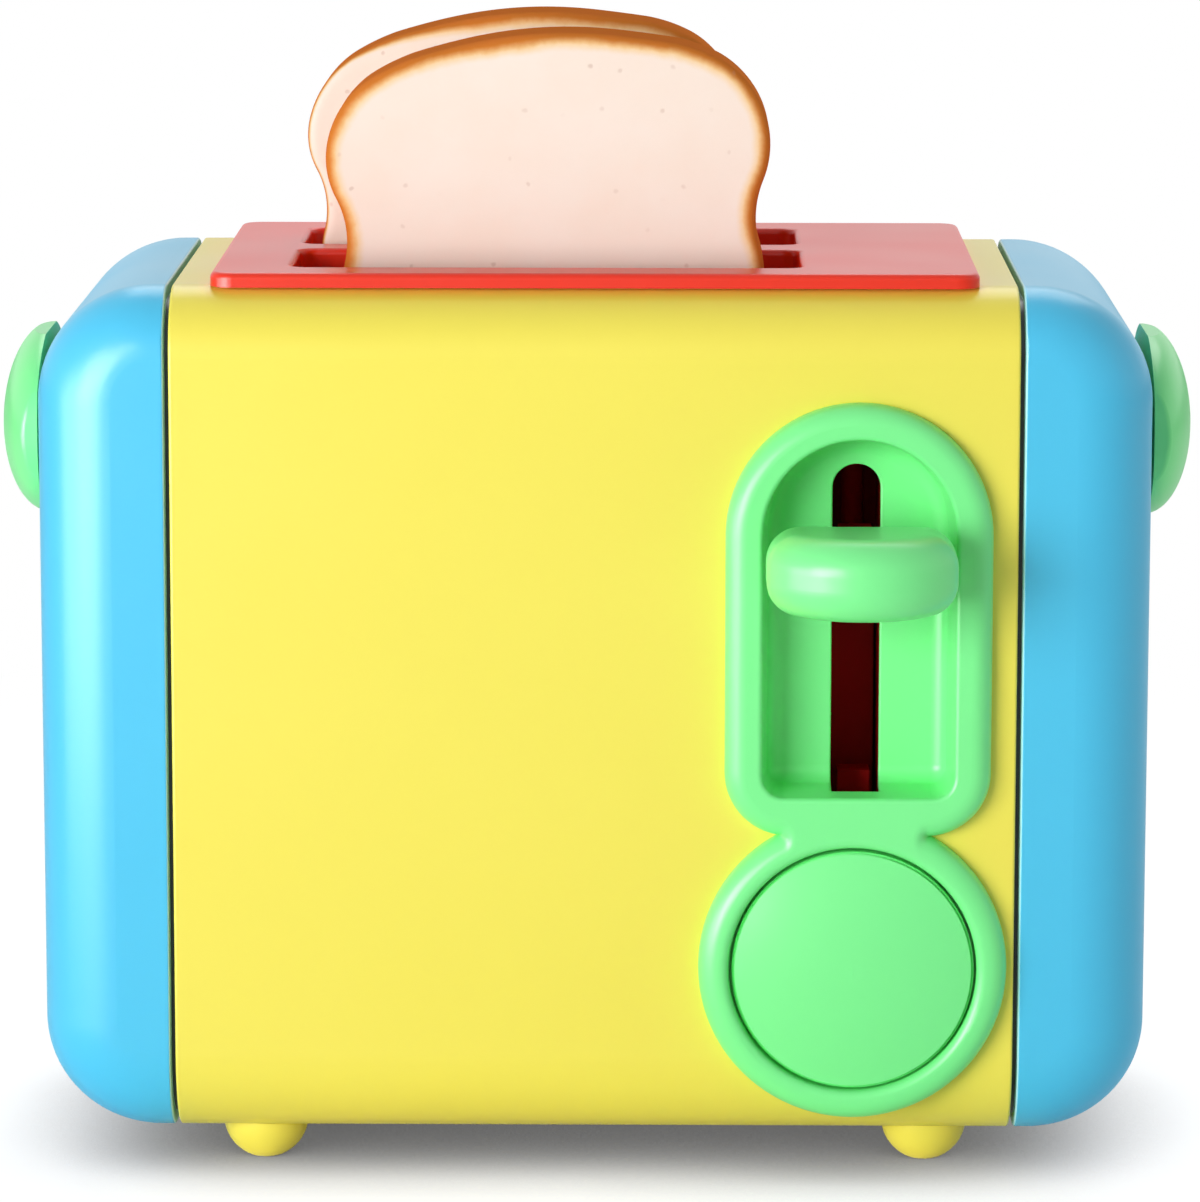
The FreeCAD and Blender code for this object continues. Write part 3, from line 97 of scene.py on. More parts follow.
def ramp(tree, value, low, high, to_low=0.0, to_high=1.0, steps="LINEAR"):
    """A value mapped from one range to another, held at both ends."""
    node = add(tree, "ShaderNodeMapRange", {"interpolation_type": steps})
    for socket, number in zip(node.inputs, (value, low, high, to_low, to_high)):
        feed(tree, socket, number)
    return node.outputs[0]


def noise(tree, place, scale, detail=2.0, roughness=0.5):
    """A soft random value at every place, from 0 to 1."""
    node = add(tree, "ShaderNodeTexNoise", Vector=place, Scale=scale, Detail=detail)
    feed(tree, node.inputs["Roughness"], roughness)
    return node.outputs["Fac"]


def shader_group(name, inputs, outputs, fill):
    """A shader node group; fill(tree, inputs) returns what feeds each output."""
    tree = bpy.data.node_groups.new(name, "ShaderNodeTree")
    for label, kind, default in inputs:
        socket = tree.interface.new_socket(label, in_out="INPUT", socket_type=kind)
        socket.default_value = default
    for label, kind in outputs:
        tree.interface.new_socket(label, in_out="OUTPUT", socket_type=kind)
    entry, leave = tree.nodes.new("NodeGroupInput"), tree.nodes.new("NodeGroupOutput")
    for socket, value in zip(leave.inputs, fill(tree, entry.outputs)):
        feed(tree, socket, value)
    return tree


def srgb(red, green, blue):
    """A colour as it looks, 0 to 255, to the linear values that a shader takes."""
    linear = []
    for value in (red, green, blue):
        value /= 255
        linear.append(value / 12.92 if value <= 0.04045 else ((value + 0.055) / 1.055) ** 2.4)
    return (*linear, 1.0)


def new_material(name):
    """A material with a plain principled shader: its tree and that shader."""
    material = bpy.data.materials.new(name)
    material.use_nodes = True
    return material, material.node_tree, material.node_tree.nodes["Principled BSDF"]


# ---------------------------------------------------------------- moulded plastic

TINT_CLOUDS, GLOSS_CLOUDS, ORANGE_PEEL = 14.0, 30.0, 420.0  # noise scales, per metre
GLOSS_SWING = 0.03


def mould_skin(tree, given):
    """Slow tint drift, patchy gloss and the orange peel of a moulded skin."""
    place = add(tree, "ShaderNodeTexCoord").outputs["Object"]
    clouds = noise(tree, place, TINT_CLOUDS)
    drift = ramp(tree, clouds, 0.15, 0.85, 0.0, 1.0, "SMOOTHSTEP")
    share = maths(tree, "MULTIPLY", drift, given["Drift"])
    tint = mixed(tree, share, given["Colour"], given["Shade"])
    clouds = noise(tree, place, GLOSS_CLOUDS, 1.0)
    patches = ramp(tree, clouds, 0.15, 0.85, -1.0, 1.0, "SMOOTHSTEP")
    swing = maths(tree, "MULTIPLY", patches, given["Gloss Swing"])
    rough = maths(tree, "ADD", given["Roughness"], swing)
    peel = noise(tree, place, given["Peel Scale"], 2.0, 0.4)
    return tint, rough, peel


MOULD_SKIN = shader_group(
    "mould_skin",
    [
        ("Colour", COLOUR, (1, 1, 1, 1)),
        ("Shade", COLOUR, (1, 1, 1, 1)),
        ("Drift", FLOAT, 0.5),
        ("Roughness", FLOAT, 0.3),
        ("Gloss Swing", FLOAT, GLOSS_SWING),
        ("Peel Scale", FLOAT, ORANGE_PEEL),
    ],
    [("Colour", COLOUR), ("Roughness", FLOAT), ("Peel", FLOAT)],
    mould_skin,
)


def moulded_plastic(name, colour, shade, roughness=0.31, peel=0.0035, shine=0.5):
    """Gloss toy plastic: a colour, the deeper tone that it drifts to, and orange peel in mm."""
    material, tree, shader = new_material(name)
    skin = add(tree, "ShaderNodeGroup", {"node_tree": MOULD_SKIN}, Colour=colour, Shade=shade)
    skin.inputs["Roughness"].default_value = roughness
    bump = add(tree, "ShaderNodeBump", Strength=0.5, Distance=peel * MM)
    feed(tree, bump.inputs["Height"], skin.outputs["Peel"])
    feed(tree, shader.inputs["Base Color"], skin.outputs["Colour"])
    feed(tree, shader.inputs["Roughness"], skin.outputs["Roughness"])
    feed(tree, shader.inputs["Normal"], bump.outputs["Normal"])
    shader.inputs["IOR"].default_value = 1.5
    shader.inputs["Specular IOR Level"].default_value = shine
    return material


CAP_EDGE = 76.9  # millimetres from the middle to an end cap's edge at the seam
STRIPE_BLUR = 0.04
# How far behind that edge each stripe of the lip starts, and its colour: a pale painted highlight
# at the cap's rounded edge, then painted shade in the seam's gap.
SEAM_HIGHLIGHT_AND_SHADE = ((0.18, srgb(176, 236, 250)), (0.5, srgb(8, 40, 44)))


def paint_seam_highlight_and_shade(material):
    """Paints the lip behind the seam: a pale painted highlight at the cap, then painted shade in
    the gap.
    """
    tree = material.node_tree
    place = add(tree, "ShaderNodeTexCoord").outputs["Object"]
    axes = add(tree, "ShaderNodeSeparateXYZ", Vector=place).outputs
    across = maths(tree, "ABSOLUTE", axes["X"])
    base = tree.nodes["Principled BSDF"].inputs["Base Color"]
    colour = base.links[0].from_socket
    for inset, tint in SEAM_HIGHLIGHT_AND_SHADE:
        start = CAP_EDGE - inset
        hidden = ramp(tree, across, start * MM, (start - STRIPE_BLUR) * MM)
        colour = mixed(tree, hidden, colour, tint)
    feed(tree, base, colour)


# ---------------------------------------------------------------- metal

DULL_CLOUDS, DRAW_MARKS = 120.0, 900.0  # noise scales, per metre
DRAW_BUMP = 0.004  # millimetres


def drawn_metal(tree, given):
    """Fine draw marks and dull patches of wire and plated screws."""
    place = add(tree, "ShaderNodeTexCoord").outputs["Object"]
    marks = noise(tree, place, given["Mark Scale"], 6.0, 0.7)
    patches = ramp(tree, noise(tree, place, DULL_CLOUDS, 3.0), 0.35, 0.65)
    tint = mixed(tree, patches, given["Colour"], given["Dull Colour"])
    return tint, ramp(tree, marks, 0.3, 0.7, 0.22, 0.4), marks


DRAWN_METAL = shader_group(
    "drawn_metal",
    [
        ("Colour", COLOUR, (0.6, 0.6, 0.6, 1)),
        ("Dull Colour", COLOUR, (0.4, 0.4, 0.4, 1)),
        ("Mark Scale", FLOAT, DRAW_MARKS),
    ],
    [("Colour", COLOUR), ("Roughness", FLOAT), ("Marks", FLOAT)],
    drawn_metal,
)


def metal(name, colour, dull, scale=DRAW_MARKS):
    """Bare metal: its colour, its dull patches and the noise scale of its draw marks."""
    material, tree, shader = new_material(name)
    skin = add(tree, "ShaderNodeGroup", {"node_tree": DRAWN_METAL}, Colour=colour)
    skin.inputs["Dull Colour"].default_value = dull
    skin.inputs["Mark Scale"].default_value = scale
    bump = add(tree, "ShaderNodeBump", Strength=0.4, Distance=DRAW_BUMP * MM)
    feed(tree, bump.inputs["Height"], skin.outputs["Marks"])
    feed(tree, shader.inputs["Base Color"], skin.outputs["Colour"])
    feed(tree, shader.inputs["Roughness"], skin.outputs["Roughness"])
    feed(tree, shader.inputs["Normal"], bump.outputs["Normal"])
    shader.inputs["Metallic"].default_value = 1.0
    return material


# ---------------------------------------------------------------- foam bread skin

CRUMB, CRUMB_SHADE, CRUMB_PIT_SHADE = srgb(249, 233, 220), srgb(248, 229, 214), srgb(196, 160, 140)
CRUST_GLOW, CRUST, CRUST_DEEP = srgb(246, 206, 142), srgb(212, 124, 50), srgb(218, 122, 54)
CRUMB_CLOUDS, SPRAY, GRAIN = 70.0, 420.0, 900.0  # noise scales, per metre
PIT_CELLS, PIT_EDGE = 140.0, 500.0
PIT_WANDER = 1.5  # millimetres
# The first number darkens the pits, painted shade inside them; the second sets their shallow bump.
PIT_SHADE, PIT_DEPTH = 0.38, 2.0
FOAM_BUMP = 0.02  # millimetres


def faint_pits(tree, place, axes):
    """A mask of few, small and ragged specks, the same through the slice's thickness."""
    ragged = maths(tree, "MULTIPLY", noise(tree, place, PIT_EDGE, 2.0), PIT_WANDER * MM)
    flat = add(tree, "ShaderNodeCombineXYZ", Y=axes["Z"])
    feed(tree, flat.inputs["X"], maths(tree, "ADD", axes["X"], ragged))
    cells = add(tree, "ShaderNodeTexVoronoi", {"voronoi_dimensions": "2D"}, Scale=PIT_CELLS)
    feed(tree, cells.inputs["Vector"], flat.outputs[0])
    few = ramp(tree, cells.outputs["Color"], 0.62, 0.85)
    return maths(tree, "MULTIPLY", ramp(tree, cells.outputs["Distance"], 0.075, 0.03), few)


def baked_foam(tree, given):
    """Cream crumb, an airbrushed brown rim that may thin out to the left, and faint pits with
    painted shade in them.
    """
    place = add(tree, "ShaderNodeTexCoord").outputs["Object"]
    inward = add(tree, "ShaderNodeAttribute", {"attribute_name": "rim_distance"}).outputs["Fac"]
    axes = add(tree, "ShaderNodeSeparateXYZ", Vector=place).outputs
    cloud = noise(tree, place, CRUMB_CLOUDS, 3.0)
    spray = ramp(tree, noise(tree, place, SPRAY, 4.0, 0.6), 0.3, 0.7, -0.08, 0.08)
    sides = given["Left X"], given["Right X"], given["Left Rim"], given["Right Rim"]
    width = ramp(tree, axes["X"], *sides, "SMOOTHSTEP")
    soft = maths(tree, "ADD", ramp(tree, cloud, 0.3, 0.7, -0.22, 0.22), spray)
    share = maths(tree, "ADD", maths(tree, "DIVIDE", inward, width), soft)
    crust = ramp(tree, share, 1.25, 0.3, 0.0, 1.0, "SMOOTHSTEP")
    glow = ramp(tree, share, 1.9, 0.7, 0.0, 1.0, "SMOOTHSTEP")
    deep = ramp(tree, share, 0.5, -0.3, 0.0, 1.0, "SMOOTHSTEP")
    tint = mixed(tree, ramp(tree, cloud, 0.35, 0.7), CRUMB, CRUMB_SHADE)
    tint = mixed(tree, glow, tint, CRUST_GLOW)
    tint = mixed(tree, crust, tint, CRUST)
    tint = mixed(tree, deep, tint, CRUST_DEEP)
    pits = faint_pits(tree, place, axes)
    # The pits are tinted darker: painted shade inside them.
    tint = mixed(tree, maths(tree, "MULTIPLY", pits, PIT_SHADE), tint, CRUMB_PIT_SHADE)
    grain = noise(tree, place, GRAIN, 3.0, 0.6)
    height = maths(tree, "SUBTRACT", grain, maths(tree, "MULTIPLY", pits, PIT_DEPTH))
    return tint, crust, height


BAKED_FOAM = shader_group(
    "baked_foam",
    [
        ("Left Rim", FLOAT, 1.9),
        ("Right Rim", FLOAT, 1.9),
        ("Left X", FLOAT, -0.06),
        ("Right X", FLOAT, 0.06),
    ],
    [("Colour", COLOUR), ("Crust", FLOAT), ("Height", FLOAT)],
    baked_foam,
)


def foam_bread(name, left_rim, right_rim, left_x, right_x):
    """Matte toy bread; its brown rim goes from one width to another between two places, in mm."""
    material, tree, shader = new_material(name)
    foam = add(tree, "ShaderNodeGroup", {"node_tree": BAKED_FOAM})
    sizes = (left_rim, right_rim, left_x * MM, right_x * MM)
    for socket, value in zip(foam.inputs, sizes):
        socket.default_value = value
    bump = add(tree, "ShaderNodeBump", Strength=0.6, Distance=FOAM_BUMP * MM)
    feed(tree, bump.inputs["Height"], foam.outputs["Height"])
    feed(tree, shader.inputs["Base Color"], foam.outputs["Colour"])
    feed(tree, shader.inputs["Roughness"], ramp(tree, foam.outputs["Crust"], 0.0, 1.0, 0.75, 0.6))
    feed(tree, shader.inputs["Normal"], bump.outputs["Normal"])
    shader.inputs["Specular IOR Level"].default_value = 0.0
    return material


# ---------------------------------------------------------------- finishes

# A darker, duller copy of the red plastic for the parts deep inside: painted shade standing in for
# the dark interior behind the lever slot.
SHADED_RED, SHADED_DEEPER_RED = srgb(196, 20, 14), srgb(176, 14, 12)
SHADED_INNER_RED = moulded_plastic("painted_shade_red_plastic", SHADED_RED, SHADED_DEEPER_RED, 0.6, 0.006, shine=0.15)
SPRING_STEEL = metal("spring_steel", (0.42, 0.43, 0.45, 1), (0.30, 0.31, 0.33, 1), 1600.0)
BREAD_BACK = foam_bread("bread_plastic_back", 0.4, 1.9, -52.0, -14.0)
FINISHES = {
    "yellow_plastic": moulded_plastic("yellow_plastic", srgb(244, 230, 90), srgb(241, 226, 82)),
    "blue_plastic": moulded_plastic("blue_plastic", srgb(78, 199, 241), srgb(72, 194, 237)),
    "green_plastic": moulded_plastic("green_plastic", srgb(129, 248, 151), srgb(121, 244, 144)),
    "red_plastic": moulded_plastic("red_plastic", srgb(234, 46, 14), srgb(224, 40, 12)),
    "bread_plastic": foam_bread("bread_plastic", 1.9, 1.9, -60.0, 60.0),
    "steel": metal("steel", (0.60, 0.61, 0.63, 1), (0.45, 0.46, 0.48, 1)),
    "spring_steel": SPRING_STEEL,
    "screw_steel": metal("screw_steel", (0.66, 0.67, 0.66, 1), (0.50, 0.51, 0.50, 1), 1200.0),
}
# The seam's pale painted highlight and the painted shade in its gap go on the blue.
paint_seam_highlight_and_shade(FINISHES["blue_plastic"])
INNER_NODES = ("carriage_frame", "bread_carriage", "guide_rod", "latch_lever")
SLOT_OF = {row["node"]: row["material_slot"] for row in frame["record"]["subparts"]}


def dress_cad_nodes():
    """Every CAD node takes the finish of its record slot; those deep inside take a darker, duller
    red: painted shade for the dark interior behind the lever slot.
    """
    for name, node in frame["nodes"].items():
        node.data.materials.clear()
        node.data.materials.append(SHADED_INNER_RED if name in INNER_NODES else FINISHES[SLOT_OF[name]])


def bring_in(name, mesh, body, node):
    """Links a piece that rides on a body and stands for a CAD node."""
    piece = bpy.data.objects.new(name, mesh)
    bpy.context.scene.collection.objects.link(piece)
    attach(piece, body)
    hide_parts(node)
    return piece


def face_out(mesh):
    """Normals outwards and smooth shading."""
    shell = bmesh.new()
    shell.from_mesh(mesh)
    bmesh.ops.recalc_face_normals(shell, faces=shell.faces)
    shell.to_mesh(mesh)
    shell.free()
    mesh.shade_smooth()


# ---------------------------------------------------------------- bread, in millimetres

CASE_Y = 15.5  # the case's middle behind the row's origin
SIDE_WAIST, WAIST_Z, WAIST_RADIUS = 37.05, 170.1, 17.3
EAR_X, EAR_Z, EAR_RADIUS = 23.9, 184.3, 16.3
SLICE_TOP, SLICE_PIVOT, RACK_TOP = 206.3, 185.0, 121.0
CORNER, HALF_THICKNESS = 5.0, 9.0
RIM_EDGE, RIM_STEPS, BELT_STEPS = 1.8, 7, 4  # rounded edge between face and rim
FACE_INSETS = (4.6, 4.0, 3.4, 2.8, 2.3)
FACE_SHARES = (0.2, 0.4, 0.6, 0.8, 0.92)  # rings from the middle of a face to those insets
FLARE = math.radians(15)
FACE_MIDDLE = np.array((0.0, 163.0))
DEEP_INSIDE = 12.0  # rim distance that is all crumb
CROWN_RISE = 22.0  # the slump comes in over this height above the waist
SAG, SAG_REACH = 0.6, 24.0  # how far the crown's middle sinks, and half the width of that
SHOULDER_X, SHOULDER_SPREAD, SHOULDER_LEFT, SHOULDER_RIGHT = 29.0, 8.0, 0.5, 0.9


def sweep(middle, radius, start, end, step=0.9):
    """Points along an arc, angles in radians, without its last point."""
    count = max(2, round(abs(end - start) * radius / step))
    turn = [start + (end - start) * i / count for i in range(count)]
    return [(middle[0] + radius * math.cos(t), middle[1] + radius * math.sin(t)) for t in turn]


def rise(x, low, high, step=3.0):
    """Points up a straight side, without its last point."""
    count = max(2, round((high - low) / step))
    return [(x, low + (high - low) * i / count) for i in range(count)]


def slice_side():
    """Half the width of a slice's straight lower part."""
    return SIDE_WAIST + 2 * WAIST_RADIUS * (1 - math.cos(FLARE))


def slice_outline(foot):
    """Closed outline of an upright slice about X = 0, anticlockwise from the foot's middle."""
    side, quarter, foot_points = slice_side(), math.pi / 2, 24
    waist = (SIDE_WAIST + WAIST_RADIUS, WAIST_Z)
    flare = (
        waist[0] - 2 * WAIST_RADIUS * math.cos(FLARE),
        WAIST_Z - 2 * WAIST_RADIUS * math.sin(FLARE),
    )
    lean_in = math.atan2(EAR_Z - WAIST_Z, waist[0] - EAR_X)
    drop = SLICE_TOP - EAR_Z
    crown = (EAR_X**2 + drop**2 - EAR_RADIUS**2) / (2 * (drop - EAR_RADIUS))
    crown_z = SLICE_TOP - crown
    shoulder = math.atan2(EAR_Z - crown_z, EAR_X)
    right = [(i * (side - CORNER) / foot_points, foot) for i in range(foot_points)]
    right += sweep((side - CORNER, foot + CORNER), CORNER, -quarter, 0.0)
    right += rise(side, foot + CORNER, flare[1])
    right += sweep(flare, WAIST_RADIUS, 0.0, FLARE)
    right += sweep(waist, WAIST_RADIUS, math.pi + FLARE, math.pi - lean_in)
    right += sweep((EAR_X, EAR_Z), EAR_RADIUS, -lean_in, shoulder)
    right += sweep((0.0, crown_z), crown, shoulder, quarter)
    return right + [(0.0, SLICE_TOP)] + [(-x, z) for x, z in reversed(right[1:])]


def slumped(outline, tip):
    """A crown that has sunk in its middle and stands higher on its right; tip is that slope."""
    x, z = outline[:, 0], outline[:, 1]
    share = np.clip((z - WAIST_Z) / CROWN_RISE, 0.0, 1.0)
    share = share * share * (3 - 2 * share)
    sunk = SAG * np.clip(1 - (x / SAG_REACH) ** 2, 0.0, 1.0)
    away = (np.abs(x) - SHOULDER_X) / SHOULDER_SPREAD
    shoulders = np.where(x > 0, SHOULDER_RIGHT, SHOULDER_LEFT) * np.exp(-(away**2))
    return np.column_stack((x, z + share * (tip * x + shoulders - sunk)))


def inward_normals(outline):
    """The inward normal at every point of a closed outline."""
    along = np.roll(outline, -1, 0) - np.roll(outline, 1, 0)
    along /= np.linalg.norm(along, axis=1)[:, None]
    return np.column_stack((-along[:, 1], along[:, 0]))


def slice_rings():
    """Inset from the outline, place across the slice and distance from the rim, face to face."""
    half = [(inset, -HALF_THICKNESS, inset) for inset in FACE_INSETS]
    for i in range(RIM_STEPS + 1):
        turn = math.pi / 2 * i / RIM_STEPS
        inset = RIM_EDGE * (1 - math.sin(turn))
        half.append((inset, -HALF_THICKNESS + RIM_EDGE * (1 - math.cos(turn)), inset))
    depth = HALF_THICKNESS - RIM_EDGE
    for i in reversed(range(BELT_STEPS)):
        half.append((0.0, -depth * i / BELT_STEPS, -depth * (1 - i / BELT_STEPS)))
    return half + [(inset, -y, rim) for inset, y, rim in reversed(half[:-1])]


def slice_mesh(name, outline, place):
    """A closed slice with the distance from its rim stored at every point; place sets it."""
    inward = inward_normals(outline)
    rings = [(outline + inward * inset, across, rim) for inset, across, rim in slice_rings()]
    near, far = rings[0], rings[-1]

    def towards_middle(ring, part):
        return FACE_MIDDLE + (ring[0] - FACE_MIDDLE) * part, ring[1], DEEP_INSIDE

    rings = (
        [towards_middle(near, part) for part in FACE_SHARES]
        + rings
        + [towards_middle(far, part) for part in reversed(FACE_SHARES)]
    )
    count, last = len(outline), (len(rings) - 1) * len(outline)
    vertices, rim_distance, faces = [], [], []
    for flat, across, rim in rings:
        vertices += place(flat, across)
        rim_distance += [rim] * count
    for start in range(0, last, count):
        for i in range(count):
            a, b = start + i, start + (i + 1) % count
            faces.append((a, b, b + count, a + count))
    faces.append(tuple(reversed(range(count))))
    faces.append(tuple(last + i for i in range(count)))
    mesh = bpy.data.meshes.new(name)
    mesh.from_pydata(vertices, [], faces)
    stored = mesh.attributes.new("rim_distance", "FLOAT", "POINT")
    stored.data.foreach_set("value", rim_distance)
    face_out(mesh)
    return mesh


def bread_slice(name, node, body, material, *, x, y, lean, lift, tip):
    """A slice popped up in its slot at x and y; it leans towards -X, in degrees."""
    turn = math.radians(lean)
    cosine, sine = math.cos(turn), math.sin(turn)
    below = SLICE_PIVOT + lift - RACK_TOP - CORNER - (slice_side() - CORNER) * sine
    foot = SLICE_PIVOT - below / cosine - CORNER

    def place(flat, across):
        flat_x, flat_z = flat[:, 0], flat[:, 1]
        world_x = x + SLICE_PIVOT * sine + flat_x * cosine - flat_z * sine
        world_z = SLICE_PIVOT * (1 - cosine) + lift + flat_x * sine + flat_z * cosine
        depth = np.full(len(flat), y + CASE_Y + across)
        return list(zip(world_x * MM, depth * MM, world_z * MM))

    mesh = slice_mesh(name, slumped(np.array(slice_outline(foot)), tip), place)
    mesh.materials.append(material)
    bring_in(name, mesh, body, node)


# ---------------------------------------------------------------- springs


def coil_tree():
    """Geometry nodes for a coil spring that stands on the origin along Z."""
    tree = bpy.data.node_groups.new("coil_spring", "GeometryNodeTree")
    sockets = {label: FLOAT for label in ("Turns", "Length", "Radius", "Wire Radius")}
    sockets["Finish"] = "NodeSocketMaterial"
    for label, kind in sockets.items():
        tree.interface.new_socket(label, in_out="INPUT", socket_type=kind)
    tree.interface.new_socket("Geometry", in_out="OUTPUT", socket_type="NodeSocketGeometry")
    given = tree.nodes.new("NodeGroupInput").outputs
    spiral = add(tree, "GeometryNodeCurveSpiral", Resolution=28, Rotations=given["Turns"])
    feed(tree, spiral.inputs["Start Radius"], given["Radius"])
    feed(tree, spiral.inputs["End Radius"], given["Radius"])
    feed(tree, spiral.inputs["Height"], given["Length"])
    wire = add(tree, "GeometryNodeCurvePrimitiveCircle", Resolution=10)
    feed(tree, wire.inputs["Radius"], given["Wire Radius"])
    tube = add(tree, "GeometryNodeCurveToMesh", Curve=spiral.outputs[0], Fill_Caps=True)
    feed(tree, tube.inputs["Profile Curve"], wire.outputs[0])
    real = add(tree, "GeometryNodeRealizeInstances", Geometry=tube.outputs[0])
    dressed = add(tree, "GeometryNodeSetMaterial", Geometry=real.outputs[0])
    feed(tree, dressed.inputs["Material"], given["Finish"])
    leave = tree.nodes.new("NodeGroupOutput")
    tree.links.new(dressed.outputs[0], leave.inputs[0])
    return tree


def grown(name, tree, inputs):
    """The plain mesh that a geometry node tree makes of an empty mesh."""
    seed = bpy.data.objects.new(name + "_seed", bpy.data.meshes.new(name + "_seed"))
    bpy.context.scene.collection.objects.link(seed)
    modifier = seed.modifiers.new("grow", "NODES")
    modifier.node_group = tree
    for socket in tree.interface.items_tree:
        if socket.in_out == "INPUT":
            modifier[socket.identifier] = inputs[socket.name]
    ready = seed.evaluated_get(bpy.context.evaluated_depsgraph_get())
    mesh = bpy.data.meshes.new_from_object(ready)
    mesh.name = name
    seed.modifiers.clear()
    bpy.data.objects.remove(seed)
    return mesh


def coil(node, tree, axis, turns, wire, fixed_end, *, keep):
    """A coil in its CAD sleeve's room; keep, a share of its length, is not used."""
    low, high = (Vector(corner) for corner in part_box(node))
    middle, span = (low + high) / 2, high - low
    along, direction = (2, (0, 0, 1)) if axis == "Z" else (1, (0, 1, 0))
    sizes = {
        "Turns": turns,
        "Length": span[along] - 2 * wire,
        "Radius": span[0] / 2 - wire,
        "Wire Radius": wire,
        "Finish": SPRING_STEEL,
    }
    mesh = grown(node + "_coil", tree, sizes)
    foot, anchor = middle.copy(), middle.copy()
    foot[along] = low[along] + wire
    anchor[along] = low[along] if fixed_end == "low" else high[along]
    lay = Matrix.Identity(4) if axis == "Z" else Matrix.Rotation(-math.pi / 2, 4, "X")
    mesh.transform(Matrix.Translation(foot) @ lay)
    face_out(mesh)
    piece = bring_in(node + "_coil", mesh, "case", node)
    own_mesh(piece)


# ---------------------------------------------------------------- setting

ROOM_LIGHT = 0.18  # how much the room lights the object; it shows as plain white
TABLE_SIZE = 6.0
TABLE_NEAR, TABLE_FAR = 0.2, 0.5  # the shadow fades into plain white between these
NOOK_REACH, NOOK_OPEN, NOOK_DARK = 0.037, 0.72, 0.1  # the soft shade under the object
FLOOR_COLOUR, FLOOR_GAIN, FLOOR_GLOW = 0.9, 2.2, 0.9
MIDDLE = (0.0, 0.0, 0.1)


def white_room():
    """An even pale world that shows as plain white behind the object and in its gloss."""
    world = bpy.data.worlds.new("white_room")
    bpy.context.scene.world = world
    world.use_nodes = True
    tree = world.node_tree
    tree.nodes.clear()
    path = add(tree, "ShaderNodeLightPath").outputs
    seen = maths(tree, "MAXIMUM", path["Is Camera Ray"], path["Is Glossy Ray"])
    seen = maths(tree, "MAXIMUM", seen, path["Is Transmission Ray"])
    strength = ramp(tree, seen, 0.0, 1.0, ROOM_LIGHT, 1.0)
    back = add(tree, "ShaderNodeBackground", Color=(1, 1, 1, 1), Strength=strength)
    out = add(tree, "ShaderNodeOutputWorld")
    tree.links.new(back.outputs[0], out.inputs["Surface"])


def pale_floor():
    """A wide white table: white far off, with the object's soft shadow close to it."""
    size = TABLE_SIZE
    mesh = bpy.data.meshes.new("floor")
    corners = [(-size, -size, 0), (size, -size, 0), (size, size, 0), (-size, size, 0)]
    mesh.from_pydata(corners, [], [(0, 1, 2, 3)])
    floor = bpy.data.objects.new("floor", mesh)
    bpy.context.scene.collection.objects.link(floor)
    material = bpy.data.materials.new("floor_white")
    material.use_nodes = True
    tree = material.node_tree
    tree.nodes.clear()
    seen = add(tree, "ShaderNodeLightPath").outputs["Is Camera Ray"]
    place = add(tree, "ShaderNodeTexCoord").outputs["Object"]
    reach = add(tree, "ShaderNodeVectorMath", {"operation": "LENGTH"})
    feed(tree, reach.inputs[0], place)
    far = ramp(tree, reach.outputs["Value"], TABLE_NEAR, TABLE_FAR, 0.0, 1.0, "SMOOTHSTEP")
    nook = add(tree, "ShaderNodeAmbientOcclusion", {"samples": 12}, Distance=NOOK_REACH)
    shade = ramp(tree, nook.outputs["AO"], 0.0, NOOK_OPEN, NOOK_DARK, 1.0)
    shown = maths(tree, "MULTIPLY", shade, FLOOR_GAIN)
    level = mixed(tree, seen, (FLOOR_COLOUR, FLOOR_COLOUR, FLOOR_COLOUR, 1), shown)
    lit = add(tree, "ShaderNodeBsdfDiffuse", Color=level)
    glow = add(tree, "ShaderNodeEmission", Color=mixed(tree, far, shade, (1, 1, 1, 1)))
    share = maths(tree, "MULTIPLY", seen, ramp(tree, far, 0.0, 1.0, FLOOR_GLOW, 1.0))
    mix = add(tree, "ShaderNodeMixShader")
    for socket, value in zip(mix.inputs, (share, lit.outputs[0], glow.outputs[0])):
        feed(tree, socket, value)
    out = add(tree, "ShaderNodeOutputMaterial")
    tree.links.new(mix.outputs[0], out.inputs["Surface"])
    mesh.materials.append(material)


def around(turn, rise_angle, distance):
    """A place around the object: turn from the front towards the right, and height, in degrees."""
    side, up = math.radians(turn), math.radians(rise_angle)
    flat = distance * math.cos(up)
    return (flat * math.sin(side), -flat * math.cos(side), MIDDLE[2] + distance * math.sin(up))


def softbox(name, spot, size, power, target=MIDDLE):
    """A soft rectangular light, in metres and watts."""
    light = bpy.data.lights.new(name, "AREA")
    light.shape = "RECTANGLE"
    light.size, light.size_y = size
    light.energy = power
    lamp = bpy.data.objects.new(name, light)
    lamp.location = spot
    way = Vector(target) - Vector(spot)
    lamp.rotation_euler = way.to_track_quat("-Z", "Y").to_euler()
    bpy.context.scene.collection.objects.link(lamp)
    return lamp


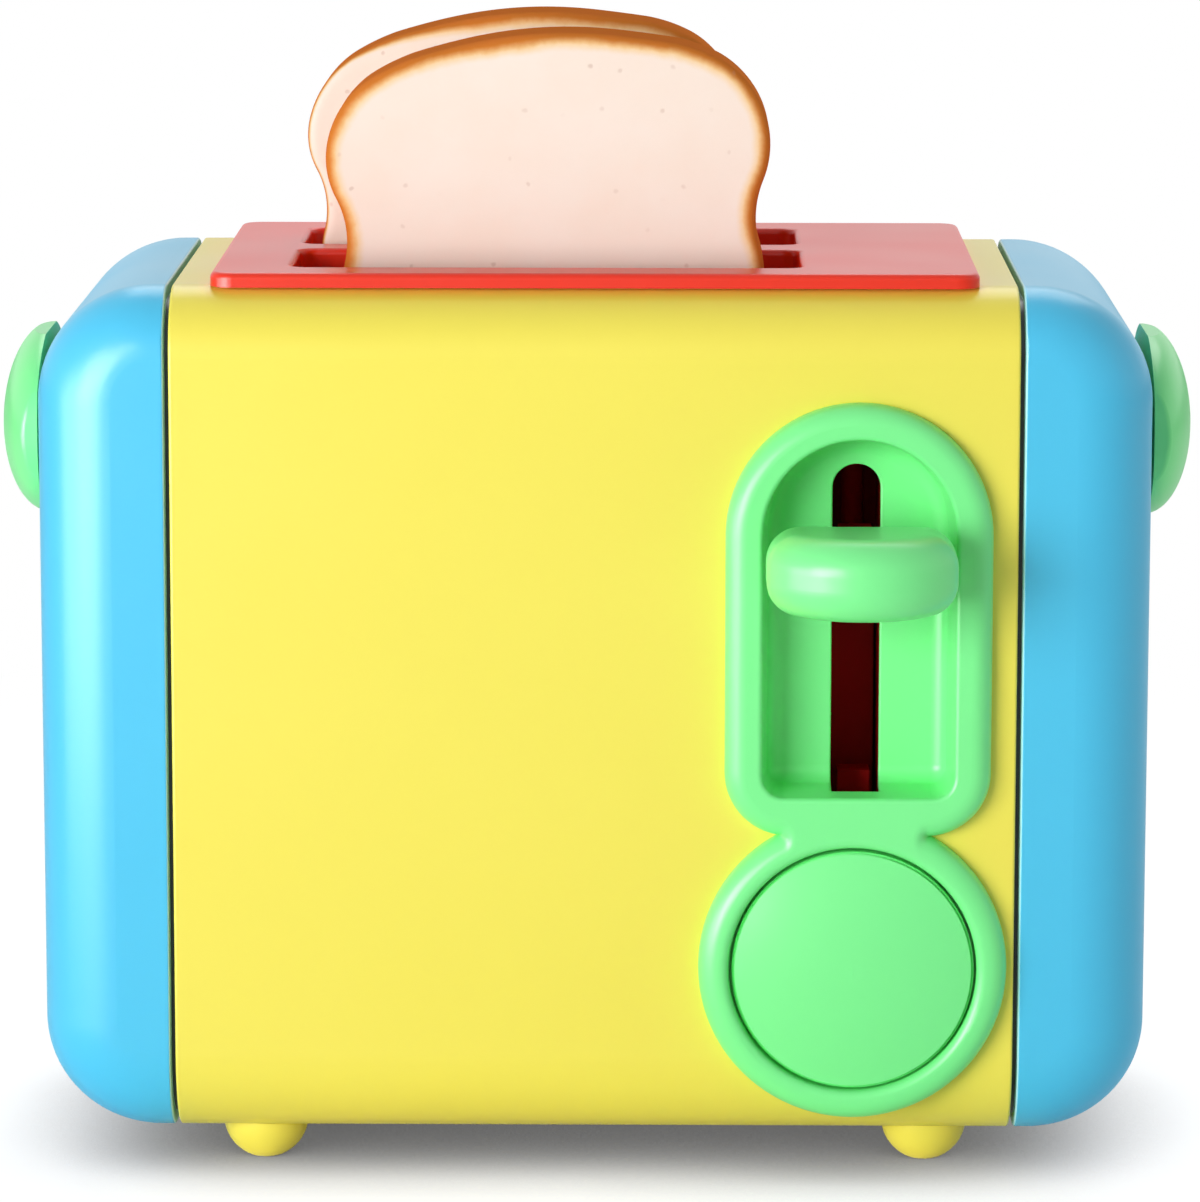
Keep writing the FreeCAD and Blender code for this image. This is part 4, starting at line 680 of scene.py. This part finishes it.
def lights():
    """A low key from the front left, a sheen on the left cap, and fill from the right and back."""
    softbox("key", around(-37, 6, 1.35), (0.85, 0.7), 19.2)
    gleam = softbox("gleam", (-0.38, -0.25, 0.09), (0.42, 0.2), 1.7, (-0.1, -0.04, 0.09))
    gleam.visible_diffuse = False
    side = softbox("side", around(93, 12, 1.3), (0.9, 0.9), 4.5)
    side.visible_glossy = False
    softbox("back", around(172, 50, 1.4), (1.2, 0.9), 8.0)


def camera():
    """A long lens from the front, a little above."""
    image_height, focal_pixels, sensor = 1202, 6002, 36.0
    eye_place = (0.01163, -1.08893, 0.28554)
    pitch, yaw, roll = 0.168, 0.010, 0.001
    data = bpy.data.cameras.new("camera")
    data.sensor_width = sensor
    data.lens = focal_pixels / image_height * sensor
    data.clip_end = 20.0
    eye = bpy.data.objects.new("camera", data)
    turn = Matrix.Rotation(yaw, 4, "Z") @ Matrix.Rotation(math.pi / 2 - pitch, 4, "X")
    turn = turn @ Matrix.Rotation(roll, 4, "Z")
    eye.matrix_world = Matrix.Translation(eye_place) @ turn
    bpy.context.scene.collection.objects.link(eye)
    bpy.context.scene.camera = eye


# ---------------------------------------------------------------- the toaster

dress_cad_nodes()
BREAD = FINISHES["bread_plastic"]
FRONT_SLOT = {"x": -8.7, "y": -15.0, "lean": 2.4, "lift": 0.0, "tip": 0.012}
BACK_SLOT = {"x": -13.9, "y": 20.0, "lean": 1.2, "lift": 1.2, "tip": 0.035}
bread_slice("front_slice", "toast_front", "front_bread", BREAD, **FRONT_SLOT)
bread_slice("back_slice", "toast_back", "back_bread", BREAD_BACK, **BACK_SLOT)
COIL = coil_tree()
LIFT_WIRE, BUTTON_WIRE, LATCH_WIRE = 0.5 * MM, 0.45 * MM, 0.25 * MM
coil("lift_spring", COIL, "Z", 11.0, LIFT_WIRE, "low", keep=0.403)
coil("button_spring", COIL, "Y", 5.0, BUTTON_WIRE, "high", keep=0.58)
coil("latch_spring", COIL, "Y", 5.0, LATCH_WIRE, "high", keep=0.58)
white_room()
pale_floor()
lights()
camera()
bpy.context.scene.view_settings.view_transform = "Standard"
